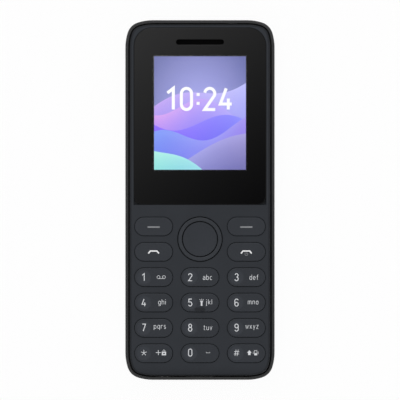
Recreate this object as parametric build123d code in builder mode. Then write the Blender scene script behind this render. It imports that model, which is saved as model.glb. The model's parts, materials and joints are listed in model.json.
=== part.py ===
from build123d import *

import os
from math import cos, radians, sin

# A candy-bar feature phone, lying on its back.
# Millimetres. +Z points out of the front face, +Y to the earpiece end, +X to the right of
# someone who looks at the screen. The origin is on the table, under the middle of the phone.

# Keypad, as seen from the front
KEY_WIDTH = 12.09
KEY_HEIGHT = 6.05
COLUMN_GAP = 2.34
ROW_GAP = 1.85
KEYPAD_SIDE_MARGIN = 2.825
KEYPAD_BOTTOM_MARGIN = 5.375
KEYPAD_TOP_MARGIN = 3.775
KEY_ROWS = [
    ("key_star", "key_0", "key_hash"),
    ("key_7", "key_8", "key_9"),
    ("key_4", "key_5", "key_6"),
    ("key_1", "key_2", "key_3"),
    ("call_key", None, "end_key"),
    ("soft_key_left", None, "soft_key_right"),
]
DIGIT_ROW_COUNT = 4
COLUMN_PITCH = KEY_WIDTH + COLUMN_GAP
ROW_PITCH = KEY_HEIGHT + ROW_GAP

# Lens over the display and the earpiece
LENS_SIDE_MARGIN = 2.7
LENS_THICKNESS = 1.0
LENS_TOP_MARGIN = 2.43
LENS_TOP_RADIUS = 5.6
LENS_BOTTOM_RADIUS = 2.7
LENS_EDGE_ROUND = 0.15
SLOT_CLEARANCE = 0.1
LENS_GAP = 0.08
ADHESIVE_THICKNESS = 0.1
ADHESIVE_INSET = 0.4
SLOT_WIDTH = 14.83
SLOT_HEIGHT = 1.58
SLOT_FROM_LENS_TOP = 4.52

# Display module
DISPLAY_WIDTH = 28.62
DISPLAY_HEIGHT = 35.47
DISPLAY_FROM_LENS_TOP = 8.8
DISPLAY_TO_LENS_BOTTOM = 10.89
DISPLAY_OPENING_MARGIN = 0.7
PANEL_SIDE_MARGIN = 2.3
PANEL_TOP_MARGIN = 1.4
PANEL_TO_LENS_BOTTOM = 2.89
LCD_FRAME_WALL = 0.35
LCD_FRAME_FLOOR = 0.4
LCD_FRAME_SETBACK = 0.2
LCD_THICKNESS = 1.95
LCD_CLEARANCE = 0.05
LCD_BOARD_GAP = 0.15
LCD_TOP_GAP = 0.1
FLEX_WIDTH = 12.0
FLEX_OUTSIDE = 2.4
FLEX_INSIDE = 4.0

# Outline of the whole phone, worked out from what its front holds
WIDTH = 2 * COLUMN_PITCH + KEY_WIDTH + 2 * KEYPAD_SIDE_MARGIN
LENS_WIDTH = WIDTH - 2 * LENS_SIDE_MARGIN
LENS_HEIGHT = DISPLAY_FROM_LENS_TOP + DISPLAY_HEIGHT + DISPLAY_TO_LENS_BOTTOM
KEYPAD_HEIGHT = (len(KEY_ROWS) - 1) * ROW_PITCH + KEY_HEIGHT
LENGTH = LENS_TOP_MARGIN + LENS_HEIGHT + KEYPAD_TOP_MARGIN + KEYPAD_HEIGHT + KEYPAD_BOTTOM_MARGIN
CORNER_REACH = 8.5
CORNER_SOFT_RADIUS = 15.0
CORNER_SOFT_TURN = 18

# Battery cover, a tray that wraps the back and the sides
COVER_WALL = 0.9
COVER_BACK_ROUND = 3.5
COVER_RIM_ROUND = 0.25
COVER_GAP = 0.15
CLIP_LENGTH = 4.0
CLIP_DEPTH = 0.4
CLIP_HEIGHT = 0.8
CLIP_BELOW_SPLIT = 1.6
CLIP_GAP = 0.12
CLIP_FROM_END = 24.15
CLIPS_PER_SIDE = 3

# Battery and its bay
BATTERY_WIDTH = 34.0
BATTERY_CAP_LENGTH = 3.2
BATTERY_EDGE_ROUND = 1.6
BATTERY_FLOOR_GAP = 0.5
BATTERY_ROOF_GAP = 0.2
BATTERY_SIDE_GAP = 0.25
BATTERY_PAD_WIDTH = 1.8
BATTERY_PAD_HEIGHT = 2.6
BATTERY_PAD_DEPTH = 0.3
CONTACT_COUNT = 3
CONTACT_PITCH = 2.9
CONTACT_WIDTH = 0.9
CONTACT_HEIGHT = 1.8
CONTACT_GAP = 0.15
CONTACT_ROOT = 2.0
CONTACT_FIT = 0.03
BAY_WALL = 1.0
BAY_ROOF = 0.8
CONNECTOR_WIDTH = 10.0
CONNECTOR_DEPTH = 4.0
CONNECTOR_FLOOR_GAP = 0.35
CONNECTOR_GAP = 0.2

# Housings
HOUSING_WALL = 1.1
FRONT_INSET = 1.45
FACE_THICKNESS = 1.2
FACE_ROUND = 0.8
LEDGE_THICKNESS = 0.8
CHIN_LENGTH = 3.6
CHIN_DROP = 0.8
SPLIT_ABOVE_BOARD = 0.3
GROOVE_DEPTH = 1.0
LENS_SEAT_MARGIN = 0.8
LIP_THICKNESS = 0.3
LIP_DEPTH = 0.5
LIP_GAP = 0.1

# Screws and the bosses that they hold together
SCREW_RADIUS = 0.6
SCREW_HEAD_RADIUS = 1.1
SCREW_HEAD_HEIGHT = 0.8
SCREW_SEAT_DEPTH = 2.8
SCREW_BITE = 2.6
SCREW_GAP = 0.03
SCREW_DRIVE_RADIUS = 0.5
SCREW_DRIVE_DEPTH = 0.4
HEAD_GAP = 0.1
BOSS_RADIUS = 1.25
REAR_BOSS_RADIUS = 1.8
BOSS_SIDE_INSET = 6.5
BOSS_TOP_INSET = 4.75
BOSS_BOTTOM_INSET = 3.75
BOARD_SEAT_GAP = 0.1

# Board and what is soldered to it
BOARD_THICKNESS = 0.8
BOARD_SPACE = 1.0
BOARD_INSET = 2.95
BOARD_HOLE_GAP = 0.2
CAN_SIDE_INSET = 0.7
CAN_LENGTH = 17.0
CAN_ROOF_GAP = 0.15
CAN_CORNER = 1.0
CAN_WALL = 0.2
TOP_CAN_WIDTH = 24.0
TOP_CAN_GAP = 0.8
SIM_EDGE_INSET = 0.1
SIM_SPACING = 1.0
SIM_LENGTH = 15.0
SIM_SEAT_GAP = 0.05
SIM_WALL = 0.5
SIM_CARD_HEIGHT = 0.9
SIM_ROOF = 0.3
SIM_TO_BAY_END = 3.5
SOCKET_WINDOW_GAP = 0.2
MEMORY_SIDE_INSET = 1.2
MEMORY_LENGTH = 14.6
MEMORY_WALL = 1.4
MEMORY_TO_SIM = 2.2
LIGHT_LENGTH = 1.6
LIGHT_WIDTH = 0.8
LIGHT_HEIGHT = 0.5
LIGHT_GAP = 0.2

# Keys, in height, and the layers under them
KEY_GAP = 0.15
KEY_PROUD = 0.35
KEY_TRAVEL = 0.35
KEY_EDGE_ROUND = 0.28
KEY_FLANGE = 0.35
KEY_FLANGE_THICKNESS = 0.4
KEY_FLANGE_GAP = 0.1
TRAVEL_MARGIN = 0.15
PLUNGER_RADIUS = 1.2
DISH_SHIFT = 3.05
DISH_RADIUS = 2.35
DISH_DEPTH = 0.12
MARKER_WIDTH = 3.1
MARKER_HEIGHT = 0.9
MARKER_RISE = 0.25
MARKER_SINK = 0.2
MARKER_FROM_EDGE = 0.75
MEMBRANE_THICKNESS = 0.4
MEMBRANE_SKIRT = 0.8
MEMBRANE_HOLE_GAP = 0.4
MEMBRANE_INSET = 0.25
MEMBRANE_CORNER = 3.5
DOME_RADIUS = 2.0
DOME_TOP_RADIUS = 1.2
DOME_HEIGHT = 0.3
DOME_FILM = 0.1
DOME_FILM_GAP = 0.1

# Navigation ring, its pad and the key in its middle
NAV_TO_KEY = 1.425
NAV_RING_WIDTH = 1.51
NAV_GAP = 0.14
NAV_PROUD = 0.45
NAV_EDGE_ROUND = 0.3
NAV_FLANGE = 0.7
NAV_FLANGE_THICKNESS = 0.4
NAV_TILT_GAP = 0.42
NAV_PAD_THICKNESS = 0.6
NAV_PAD_WIDTH = 1.1
NAV_PAD_GAP = 0.25
NAV_NUB_RADIUS = 0.5
NAV_NUB_HEIGHT = 0.2
OK_PROUD = 0.2
OK_DISH_DEPTH = 0.12
OK_FLANGE = 0.7
OK_FLANGE_THICKNESS = 0.3
OK_RIM_WIDTH = 0.5
OK_CAP_THICKNESS = 1.2
NAV_OPENING_GAP = 0.6

# Earpiece
MESH_MARGIN = 0.75
EARPIECE_LENGTH = 15.0
EARPIECE_GAP = 0.3
EARPIECE_ROUND = 1.5

# Loudspeaker
SPEAKER_WIDTH = 17.0
SPEAKER_LENGTH = 12.5
SPEAKER_HEIGHT = 3.6
SPEAKER_ROUND = 3.0
SPEAKER_TO_BAY = 5.55
SPEAKER_CONE_MARGIN = 1.6
SPEAKER_CONE_DEPTH = 0.5
GASKET_THICKNESS = 0.3
GASKET_WIDTH = 1.4
GRILLE_SLOTS = 5
GRILLE_PITCH = 2.1
GRILLE_SLOT_WIDTH = 1.0
GRILLE_SLOT_LENGTH = 6.6
DUST_MESH_THICKNESS = 0.1
DUST_MESH_MARGIN = 1.0

# Rear camera
CAMERA_SIZE = 6.5
CAMERA_FROM_TOP = 13.2
CAMERA_TO_SPEAKER = 5.4
CAMERA_HEIGHT = 4.4
CAMERA_BARREL_RADIUS = 2.6
CAMERA_TO_WINDOW = 1.05
CAMERA_BORE_RADIUS = 1.2
CAMERA_BORE_DEPTH = 0.8
CAMERA_LENS_THICKNESS = 0.4
CAMERA_LENS_GAP = 0.03
CAMERA_BOARD_GAP = 0.2
CAMERA_HOLE_GAP = 0.3
WINDOW_RADIUS = 4.1
WINDOW_THICKNESS = 0.5
WINDOW_LEDGE = 0.7
WINDOW_GAP = 0.06
WINDOW_RECESS = 0.05

# Torch at the top end
TORCH_X = 10.0
TORCH_BELOW_BOARD = 1.3
TORCH_RADIUS = 1.4
TORCH_FLANGE = 0.35
TORCH_FLANGE_THICKNESS = 0.35
TORCH_HOLE_GAP = 0.05
TORCH_COVER_GAP = 0.3
LED_WIDTH = 2.8
LED_HEIGHT = 1.6
LED_DEPTH = 1.4
LED_LENS_RADIUS = 0.5
LED_LENS_LENGTH = 0.3

# Aerial on its carrier at the top end
CARRIER_TO_BOSS = 1.0
CARRIER_TO_TORCH = 4.6
CARRIER_DEPTH = 4.4
CARRIER_HEIGHT = 3.8
CARRIER_WALL_GAP = 1.5
FOIL_THICKNESS = 0.2
FOIL_MARGIN = 0.6
FOIL_SLIT = 0.8

# Headphone socket at the bottom end
JACK_TO_BOSS = 0.8
JACK_TO_BAY = 4.44
JACK_FLOOR_GAP = 0.65
JACK_BORE_RADIUS = 1.8
JACK_BORE_LENGTH = 11.5
JACK_WIDTH = 6.4
JACK_HEIGHT = 5.3
JACK_END_WALL = 0.8
JACK_NOSE_INSET = 0.05
JACK_NOSE_GAP = 0.15
JACK_COVER_GAP = 0.45
JACK_SETBACK = 0.1
JACK_SHOULDER_GAP = 0.4

# Charging socket at the bottom end
USB_WIDTH = 8.94
USB_HEIGHT = 3.26
USB_DEPTH = 7.3
USB_WALL = 0.3
USB_BACK = 1.0
USB_TONGUE_WIDTH = 6.7
USB_TONGUE_HEIGHT = 0.7
USB_TONGUE_LENGTH = 4.6
USB_SETBACK = 0.1
USB_GAP = 0.1
USB_COVER_GAP = 0.35

# Microphone at the bottom end
MIC_TO_USB = 3.13
MIC_WIDTH = 3.8
MIC_DEPTH = 3.0
MIC_HEIGHT = 1.1
MIC_FROM_WALL = 1.6
MIC_PORT_RADIUS = 0.45
BOOT_RADIUS = 1.0
BOOT_GAP = 0.1

# Vibration motor
MOTOR_RADIUS = 2.2
MOTOR_LENGTH = 8.0
MOTOR_FROM_END = 12.2
MOTOR_FLOOR_GAP = 0.2
MOTOR_NOSE_RADIUS = 0.9
MOTOR_NOSE_LENGTH = 0.6
CRADLE_WALL = 0.5
CRADLE_LENGTH = 5.0
CRADLE_HEIGHT = 1.9
CRADLE_GAP = 0.1
WEIGHT_RADIUS = 2.0
WEIGHT_LENGTH = 2.8
WEIGHT_GAP = 0.25
WEIGHT_WALL_GAP = 0.6
SHAFT_RADIUS = 0.4
SHAFT_GAP = 0.05
SHAFT_DEPTH = 2.0
HUB_RADIUS = 0.8

# How far a cut runs past the surface that it opens
OVERRUN = 0.5

# Heights of the layers, from the table up
REAR_INSET = COVER_WALL + COVER_GAP
REAR_CAVITY_INSET = REAR_INSET + HOUSING_WALL
REAR_FLOOR_Z = REAR_INSET + HOUSING_WALL
BOARD_Z = REAR_FLOOR_Z + JACK_FLOOR_GAP + JACK_HEIGHT
BAY_TOP_Z = BOARD_Z - BOARD_SPACE
BAY_CEILING_Z = BAY_TOP_Z - BAY_ROOF
BATTERY_Z = COVER_WALL + BATTERY_FLOOR_GAP
BATTERY_THICKNESS = BAY_CEILING_Z - BATTERY_ROOF_GAP - BATTERY_Z
BOARD_TOP_Z = BOARD_Z + BOARD_THICKNESS
SPLIT_Z = BOARD_TOP_Z + SPLIT_ABOVE_BOARD
COVER_RIM_Z = SPLIT_Z + GROOVE_DEPTH
LCD_Z = BOARD_TOP_Z + LCD_BOARD_GAP
LEDGE_Z = LCD_Z + LCD_THICKNESS + LCD_TOP_GAP
LEDGE_TOP_Z = LEDGE_Z + LEDGE_THICKNESS
LENS_Z = LEDGE_TOP_Z + ADHESIVE_THICKNESS
FACE_Z = LENS_Z + LENS_THICKNESS
FACE_UNDER_Z = FACE_Z - FACE_THICKNESS
BOSS_Z = BOARD_Z - BOARD_SEAT_GAP
SCREW_SEAT_Z = BOSS_Z - SCREW_SEAT_DEPTH
FRONT_CAVITY_INSET = REAR_CAVITY_INSET + LIP_GAP + LIP_THICKNESS

# Heights of the keypad's layers
FLANGE_TOP_Z = FACE_UNDER_Z - KEY_FLANGE_GAP
FLANGE_Z = FLANGE_TOP_Z - KEY_FLANGE_THICKNESS
MEMBRANE_TOP_Z = FLANGE_Z - KEY_TRAVEL - TRAVEL_MARGIN
MEMBRANE_Z = MEMBRANE_TOP_Z - MEMBRANE_THICKNESS
DOME_TOP_Z = BOARD_TOP_Z + DOME_HEIGHT
PLUNGER_Z = DOME_TOP_Z + KEY_TRAVEL + TRAVEL_MARGIN
NAV_FLANGE_TOP_Z = FACE_UNDER_Z - NAV_TILT_GAP
NAV_RING_Z = NAV_FLANGE_TOP_Z - NAV_FLANGE_THICKNESS
NAV_PAD_TOP_Z = NAV_RING_Z - NAV_TILT_GAP
NAV_PAD_Z = NAV_PAD_TOP_Z - NAV_PAD_THICKNESS
OK_FLANGE_TOP_Z = NAV_RING_Z - NAV_TILT_GAP
OK_FLANGE_Z = OK_FLANGE_TOP_Z - OK_FLANGE_THICKNESS

# Places along the phone
LENS_TOP_Y = LENGTH / 2 - LENS_TOP_MARGIN
LENS_Y = LENS_TOP_Y - LENS_HEIGHT / 2
LENS_BOTTOM_Y = LENS_TOP_Y - LENS_HEIGHT
SLOT_Y = LENS_TOP_Y - SLOT_FROM_LENS_TOP
DISPLAY_TOP_Y = LENS_TOP_Y - DISPLAY_FROM_LENS_TOP
DISPLAY_Y = DISPLAY_TOP_Y - DISPLAY_HEIGHT / 2
PANEL_TOP_Y = DISPLAY_TOP_Y + PANEL_TOP_MARGIN
PANEL_BOTTOM_Y = LENS_BOTTOM_Y + PANEL_TO_LENS_BOTTOM
PANEL_Y = (PANEL_TOP_Y + PANEL_BOTTOM_Y) / 2
PANEL_WIDTH = DISPLAY_WIDTH + 2 * PANEL_SIDE_MARGIN
PANEL_HEIGHT = PANEL_TOP_Y - PANEL_BOTTOM_Y
LCD_FRAME_WIDTH = PANEL_WIDTH + 2 * LCD_CLEARANCE + 2 * LCD_FRAME_WALL
LCD_FRAME_HEIGHT = PANEL_HEIGHT + 2 * LCD_CLEARANCE + 2 * LCD_FRAME_WALL
LCD_FRAME_TOP_Y = PANEL_Y + LCD_FRAME_HEIGHT / 2
LCD_FRAME_BOTTOM_Y = PANEL_Y - LCD_FRAME_HEIGHT / 2
BOTTOM_ROW_Y = -LENGTH / 2 + KEYPAD_BOTTOM_MARGIN + KEY_HEIGHT / 2
UPPER_ROW_Y = BOTTOM_ROW_Y + (len(KEY_ROWS) - 1) * ROW_PITCH
NAV_Y = UPPER_ROW_Y - ROW_PITCH / 2
TOP_WALL_Y = LENGTH / 2 - REAR_CAVITY_INSET
BOTTOM_WALL_Y = -LENGTH / 2 + REAR_CAVITY_INSET
OUTER_WALL_Y = LENGTH / 2 - REAR_INSET
CAMERA_Y = LENGTH / 2 - CAMERA_FROM_TOP
CAMERA_END_Y = CAMERA_Y - CAMERA_SIZE / 2
SPEAKER_Y = CAMERA_END_Y - CAMERA_TO_SPEAKER - SPEAKER_LENGTH / 2
BAY_TOP_Y = SPEAKER_Y - SPEAKER_LENGTH / 2 - SPEAKER_TO_BAY
JACK_MOUTH_Y = -OUTER_WALL_Y + JACK_SETBACK
JACK_LENGTH = JACK_BORE_LENGTH + JACK_END_WALL
BAY_BOTTOM_Y = JACK_MOUTH_Y + JACK_LENGTH + JACK_TO_BAY + BAY_WALL
BAY_WIDTH = BATTERY_WIDTH + 2 * BATTERY_SIDE_GAP
BAY_LENGTH = BAY_TOP_Y - BAY_BOTTOM_Y
BATTERY_LENGTH = BAY_LENGTH - 2 * BATTERY_SIDE_GAP
BATTERY_Y = (BAY_TOP_Y + BAY_BOTTOM_Y) / 2
SIM_Y = BAY_BOTTOM_Y + SIM_TO_BAY_END + SIM_LENGTH / 2
MEMORY_Y = SIM_Y + SIM_LENGTH / 2 + MEMORY_TO_SIM + MEMORY_LENGTH / 2

# Places and sizes that several pieces share
CAP_WIDTH = KEY_WIDTH - 2 * KEY_GAP
CAP_HEIGHT = KEY_HEIGHT - 2 * KEY_GAP
BOSS_X = WIDTH / 2 - BOSS_SIDE_INSET
BOSS_PLACES = [
    (-BOSS_X, LENGTH / 2 - BOSS_TOP_INSET),
    (BOSS_X, LENGTH / 2 - BOSS_TOP_INSET),
    (-BOSS_X, -LENGTH / 2 + BOSS_BOTTOM_INSET),
    (BOSS_X, -LENGTH / 2 + BOSS_BOTTOM_INSET),
]
KEY_PLACES = {
    name: ((column - 1) * COLUMN_PITCH, BOTTOM_ROW_Y + row * ROW_PITCH)
    for row, names in enumerate(KEY_ROWS)
    for column, name in enumerate(names)
    if name
}
KEY_CENTRES = list(KEY_PLACES.values())
DISHED_KEYS = [name for names in KEY_ROWS[:DIGIT_ROW_COUNT] for name in names]
NAV_OUTER_RADIUS = COLUMN_PITCH - KEY_WIDTH / 2 - NAV_TO_KEY
NAV_INNER_RADIUS = NAV_OUTER_RADIUS - NAV_RING_WIDTH
RING_RADIUS = NAV_OUTER_RADIUS - NAV_GAP
RING_BORE_RADIUS = NAV_INNER_RADIUS + NAV_GAP
RING_FLANGE_RADIUS = RING_RADIUS + NAV_FLANGE
OK_RADIUS = NAV_INNER_RADIUS - NAV_GAP
OK_FLANGE_RADIUS = OK_RADIUS + OK_FLANGE
PAD_BORE_RADIUS = OK_FLANGE_RADIUS + NAV_PAD_GAP
NAV_DOME_RING = PAD_BORE_RADIUS + NAV_PAD_WIDTH / 2
DOME_PLACES = KEY_CENTRES + [
    (0, NAV_Y),
    (NAV_DOME_RING, NAV_Y),
    (-NAV_DOME_RING, NAV_Y),
    (0, NAV_Y + NAV_DOME_RING),
    (0, NAV_Y - NAV_DOME_RING),
]
MEMBRANE_TOP_Y = LCD_FRAME_BOTTOM_Y - FLEX_OUTSIDE - MEMBRANE_INSET
MEMBRANE_BOTTOM_Y = -LENGTH / 2 + BOSS_BOTTOM_INSET + BOSS_RADIUS + MEMBRANE_INSET
MEMBRANE_WIDTH = WIDTH - 2 * (FRONT_CAVITY_INSET + MEMBRANE_INSET)
MEMBRANE_HEIGHT = MEMBRANE_TOP_Y - MEMBRANE_BOTTOM_Y
MEMBRANE_Y = (MEMBRANE_TOP_Y + MEMBRANE_BOTTOM_Y) / 2
LIGHT_Y = BOTTOM_ROW_Y + ROW_PITCH * 3 / 2
JACK_Z = BOARD_Z - JACK_HEIGHT / 2
USB_Z = BOARD_Z - USB_HEIGHT / 2
MIC_Z = BOARD_Z - BOOT_RADIUS - BOOT_GAP
JACK_X = BOSS_X - REAR_BOSS_RADIUS - JACK_TO_BOSS - JACK_WIDTH / 2
JACK_NOSE_RADIUS = JACK_HEIGHT / 2 - JACK_NOSE_INSET
JACK_COVER_RADIUS = JACK_NOSE_RADIUS + JACK_COVER_GAP
MIC_X = USB_WIDTH / 2 + MIC_TO_USB + MIC_WIDTH / 2
TORCH_Z = BOARD_Z - TORCH_BELOW_BOARD
MOTOR_Y = -LENGTH / 2 + MOTOR_FROM_END
MOTOR_Z = REAR_FLOOR_Z + MOTOR_FLOOR_GAP + MOTOR_RADIUS
WEIGHT_X = WIDTH / 2 - REAR_CAVITY_INSET - WEIGHT_WALL_GAP - WEIGHT_LENGTH
MOTOR_END_X = WEIGHT_X - WEIGHT_GAP - MOTOR_NOSE_LENGTH
MOTOR_X = MOTOR_END_X - MOTOR_LENGTH / 2
CRADLE_WIDTH = 2 * (MOTOR_RADIUS + CRADLE_GAP + CRADLE_WALL)
CLIP_SPACING = LENGTH / 2 - CLIP_FROM_END
CLIP_CHANNEL_INSET = COVER_WALL + CLIP_DEPTH + CLIP_GAP
KEYPAD_CAVITY_TOP_Y = LENS_BOTTOM_Y - LENS_SEAT_MARGIN
KEYPAD_CAVITY_BOTTOM_Y = -LENGTH / 2 + FRONT_CAVITY_INSET
OPENING_WIDTH = DISPLAY_WIDTH + 2 * DISPLAY_OPENING_MARGIN
OPENING_HEIGHT = DISPLAY_HEIGHT + 2 * DISPLAY_OPENING_MARGIN
MESH_WIDTH = SLOT_WIDTH + 2 * MESH_MARGIN
MESH_HEIGHT = SLOT_HEIGHT + 2 * MESH_MARGIN
EARPIECE_DEPTH = LENGTH / 2 - FRONT_CAVITY_INSET - LCD_FRAME_TOP_Y - 2 * EARPIECE_GAP
EARPIECE_Y = LCD_FRAME_TOP_Y + EARPIECE_GAP + EARPIECE_DEPTH / 2
EARPIECE_CONE_DEPTH = EARPIECE_GAP
LCD_FRAME_DEPTH = LCD_THICKNESS - LCD_FRAME_SETBACK
KEY_TOP_Z = FACE_Z + KEY_PROUD
OK_TOP_Z = FACE_Z + OK_PROUD
NAV_AXIS = Axis((0, NAV_Y, 0), (0, 0, 1))
DISH_SPHERE = (DISH_RADIUS**2 + DISH_DEPTH**2) / (2 * DISH_DEPTH)
OK_DISH_RADIUS = OK_RADIUS - OK_RIM_WIDTH
OK_SPHERE = (OK_DISH_RADIUS**2 + OK_DISH_DEPTH**2) / (2 * OK_DISH_DEPTH)
SIM_WIDTH = BATTERY_WIDTH / 2 - SIM_EDGE_INSET - SIM_SPACING / 2
SIM_X = (SIM_WIDTH + SIM_SPACING) / 2
SIM_HEIGHT = BOARD_Z - BAY_CEILING_Z - SIM_SEAT_GAP
SIM_CARD_WIDTH = SIM_WIDTH - 2 * SIM_WALL
MEMORY_WIDTH = SIM_WIDTH - 2 * MEMORY_SIDE_INSET
MEMORY_CARD_WIDTH = MEMORY_WIDTH - 2 * MEMORY_WALL
CAN_WIDTH = SIM_WIDTH - 2 * CAN_SIDE_INSET
CAN_HEIGHT = BOARD_SPACE - CAN_ROOF_GAP
TOP_CAN_START_Y = BAY_TOP_Y + CONNECTOR_GAP + CONNECTOR_DEPTH + TOP_CAN_GAP
TOP_CAN_LENGTH = CAMERA_END_Y - TOP_CAN_GAP - TOP_CAN_START_Y
CAN_SIZES = [
    ((SIM_X, MEMORY_Y), CAN_WIDTH, CAN_LENGTH),
    ((0, TOP_CAN_START_Y + TOP_CAN_LENGTH / 2), TOP_CAN_WIDTH, TOP_CAN_LENGTH),
]
CONNECTOR_HEIGHT = BOARD_Z - REAR_FLOOR_Z - CONNECTOR_FLOOR_GAP
BATTERY_TOP_Y = BATTERY_Y + BATTERY_LENGTH / 2
CONTACT_Z = BATTERY_Z + BATTERY_THICKNESS / 2
CONTACT_LENGTH = BAY_TOP_Y + CONNECTOR_GAP + CONTACT_ROOT - BATTERY_TOP_Y - CONTACT_GAP
DUST_MESH_WIDTH = (GRILLE_SLOTS - 1) * GRILLE_PITCH + GRILLE_SLOT_WIDTH + 2 * DUST_MESH_MARGIN
DUST_MESH_HEIGHT = GRILLE_SLOT_LENGTH + 2 * DUST_MESH_MARGIN
CAMERA_Z = BOARD_Z - CAMERA_BOARD_GAP - CAMERA_HEIGHT
BARREL_Z = WINDOW_RECESS + WINDOW_THICKNESS + CAMERA_TO_WINDOW
CARRIER_LEFT_X = -BOSS_X + REAR_BOSS_RADIUS + CARRIER_TO_BOSS
CARRIER_RIGHT_X = TORCH_X - LED_WIDTH / 2 - CARRIER_TO_TORCH
CARRIER_WIDTH = CARRIER_RIGHT_X - CARRIER_LEFT_X
CARRIER_X = (CARRIER_LEFT_X + CARRIER_RIGHT_X) / 2
CARRIER_Y = TOP_WALL_Y - CARRIER_WALL_GAP - CARRIER_DEPTH / 2
FOIL_WIDTH = CARRIER_WIDTH - 2 * FOIL_MARGIN


def body_outline(z, inset):
    """Draw the phone's soft-cornered outline at height z, drawn in by inset all round.

    Each corner is a tight arc between two soft ones, and all three stay true when drawn in.
    """
    half_width = WIDTH / 2 - inset
    half_length = LENGTH / 2 - inset
    turn = radians(CORNER_SOFT_TURN)
    soft = CORNER_SOFT_RADIUS - inset
    reach = CORNER_REACH - inset
    shift = (soft - reach) / (cos(turn) - sin(turn))
    side_y = half_length - reach
    end_x = half_width - reach
    tight_centre = (half_width - soft + shift * cos(turn), side_y + shift * sin(turn))
    with BuildSketch(Plane.XY.offset(z)) as outline:
        with BuildLine():
            Line((half_width, 0), (half_width, side_y))
            CenterArc((half_width - soft, side_y), soft, 0, CORNER_SOFT_TURN)
            CenterArc(tight_centre, soft - shift, CORNER_SOFT_TURN, 90 - 2 * CORNER_SOFT_TURN)
            CenterArc((end_x, half_length - soft), soft, 90 - CORNER_SOFT_TURN, CORNER_SOFT_TURN)
            Line((end_x, half_length), (0, half_length))
            mirror(about=Plane.YZ)
            mirror(about=Plane.XZ)
        make_face()
    return outline.sketch


def lens_outline(z, inset):
    """Draw the lens's outline at height z, drawn in by inset, with rounder corners at its top."""
    with BuildSketch(Plane.XY.offset(z)) as outline:
        with Locations((0, LENS_Y)):
            Rectangle(LENS_WIDTH - 2 * inset, LENS_HEIGHT - 2 * inset)
        corners = outline.vertices().group_by(Axis.Y)
        fillet(corners[-1], LENS_TOP_RADIUS - inset)
        fillet(corners[0], LENS_BOTTOM_RADIUS - inset)
    return outline.sketch


def slots(z, places, width, height):
    """Draw round-ended slots, wider than they are high, at height z."""
    with BuildSketch(Plane.XY.offset(z)) as outlines:
        with Locations(*places):
            SlotOverall(width, height)
    return outlines.sketch


def circles(z, places, radius):
    """Draw equal circles at height z."""
    with BuildSketch(Plane.XY.offset(z)) as outlines:
        with Locations(*places):
            Circle(radius)
    return outlines.sketch


def rectangle(z, centre, width, height):
    """Draw one rectangle at height z."""
    with BuildSketch(Plane.XY.offset(z)) as outline:
        with Locations(centre):
            Rectangle(width, height)
    return outline.sketch


os.makedirs("parts", exist_ok=True)

# Battery cover: a shelled tray with its ports, sound slots, camera opening and clips
with BuildPart() as battery_cover:
    extrude(body_outline(0, 0), amount=COVER_RIM_Z)
    fillet(battery_cover.faces().sort_by(Axis.Z)[0].edges(), COVER_BACK_ROUND)
    offset(amount=-COVER_WALL, openings=battery_cover.faces().sort_by(Axis.Z)[-1])
    rim = battery_cover.faces().sort_by(Axis.Z)[-1]
    fillet(rim.outer_wire().edges(), COVER_RIM_ROUND)
    with BuildSketch(Plane.XZ.offset(LENGTH / 2 - COVER_WALL - OVERRUN)):
        with Locations((-JACK_X, JACK_Z)):
            Circle(JACK_COVER_RADIUS)
        with Locations((0, USB_Z)):
            SlotOverall(USB_WIDTH + 2 * USB_COVER_GAP, USB_HEIGHT + 2 * USB_COVER_GAP)
        with Locations((MIC_X, MIC_Z)):
            Circle(MIC_PORT_RADIUS)
    extrude(amount=COVER_WALL + 2 * OVERRUN, mode=Mode.SUBTRACT)
    with BuildSketch(Plane.XZ.offset(COVER_WALL + OVERRUN - LENGTH / 2)):
        with Locations((TORCH_X, TORCH_Z)):
            Circle(TORCH_RADIUS + TORCH_COVER_GAP)
    extrude(amount=-COVER_WALL - 2 * OVERRUN, mode=Mode.SUBTRACT)
    window_seat = circles(0, [(0, CAMERA_Y)], WINDOW_RADIUS + WINDOW_GAP)
    extrude(window_seat, amount=WINDOW_RECESS + WINDOW_THICKNESS, mode=Mode.SUBTRACT)
    window_hole = circles(0, [(0, CAMERA_Y)], WINDOW_RADIUS - WINDOW_LEDGE)
    extrude(window_hole, amount=COVER_WALL, mode=Mode.SUBTRACT)
    with BuildSketch(Plane.XY):
        with Locations((0, SPEAKER_Y)):
            with GridLocations(GRILLE_PITCH, 0, GRILLE_SLOTS, 1):
                SlotOverall(GRILLE_SLOT_LENGTH, GRILLE_SLOT_WIDTH, rotation=90)
    extrude(amount=COVER_WALL, mode=Mode.SUBTRACT)
    for side in (-1, 1):
        with BuildSketch(Plane.XY.offset(SPLIT_Z - CLIP_BELOW_SPLIT - CLIP_HEIGHT)):
            with Locations((side * (WIDTH / 2 - COVER_WALL), 0)):
                with GridLocations(0, CLIP_SPACING, 1, CLIPS_PER_SIDE):
                    Rectangle(2 * CLIP_DEPTH, CLIP_LENGTH)
        extrude(amount=CLIP_HEIGHT)
battery_cover.part.label = "battery_cover"
export_step(battery_cover.part, "parts/battery_cover.step")

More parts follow.
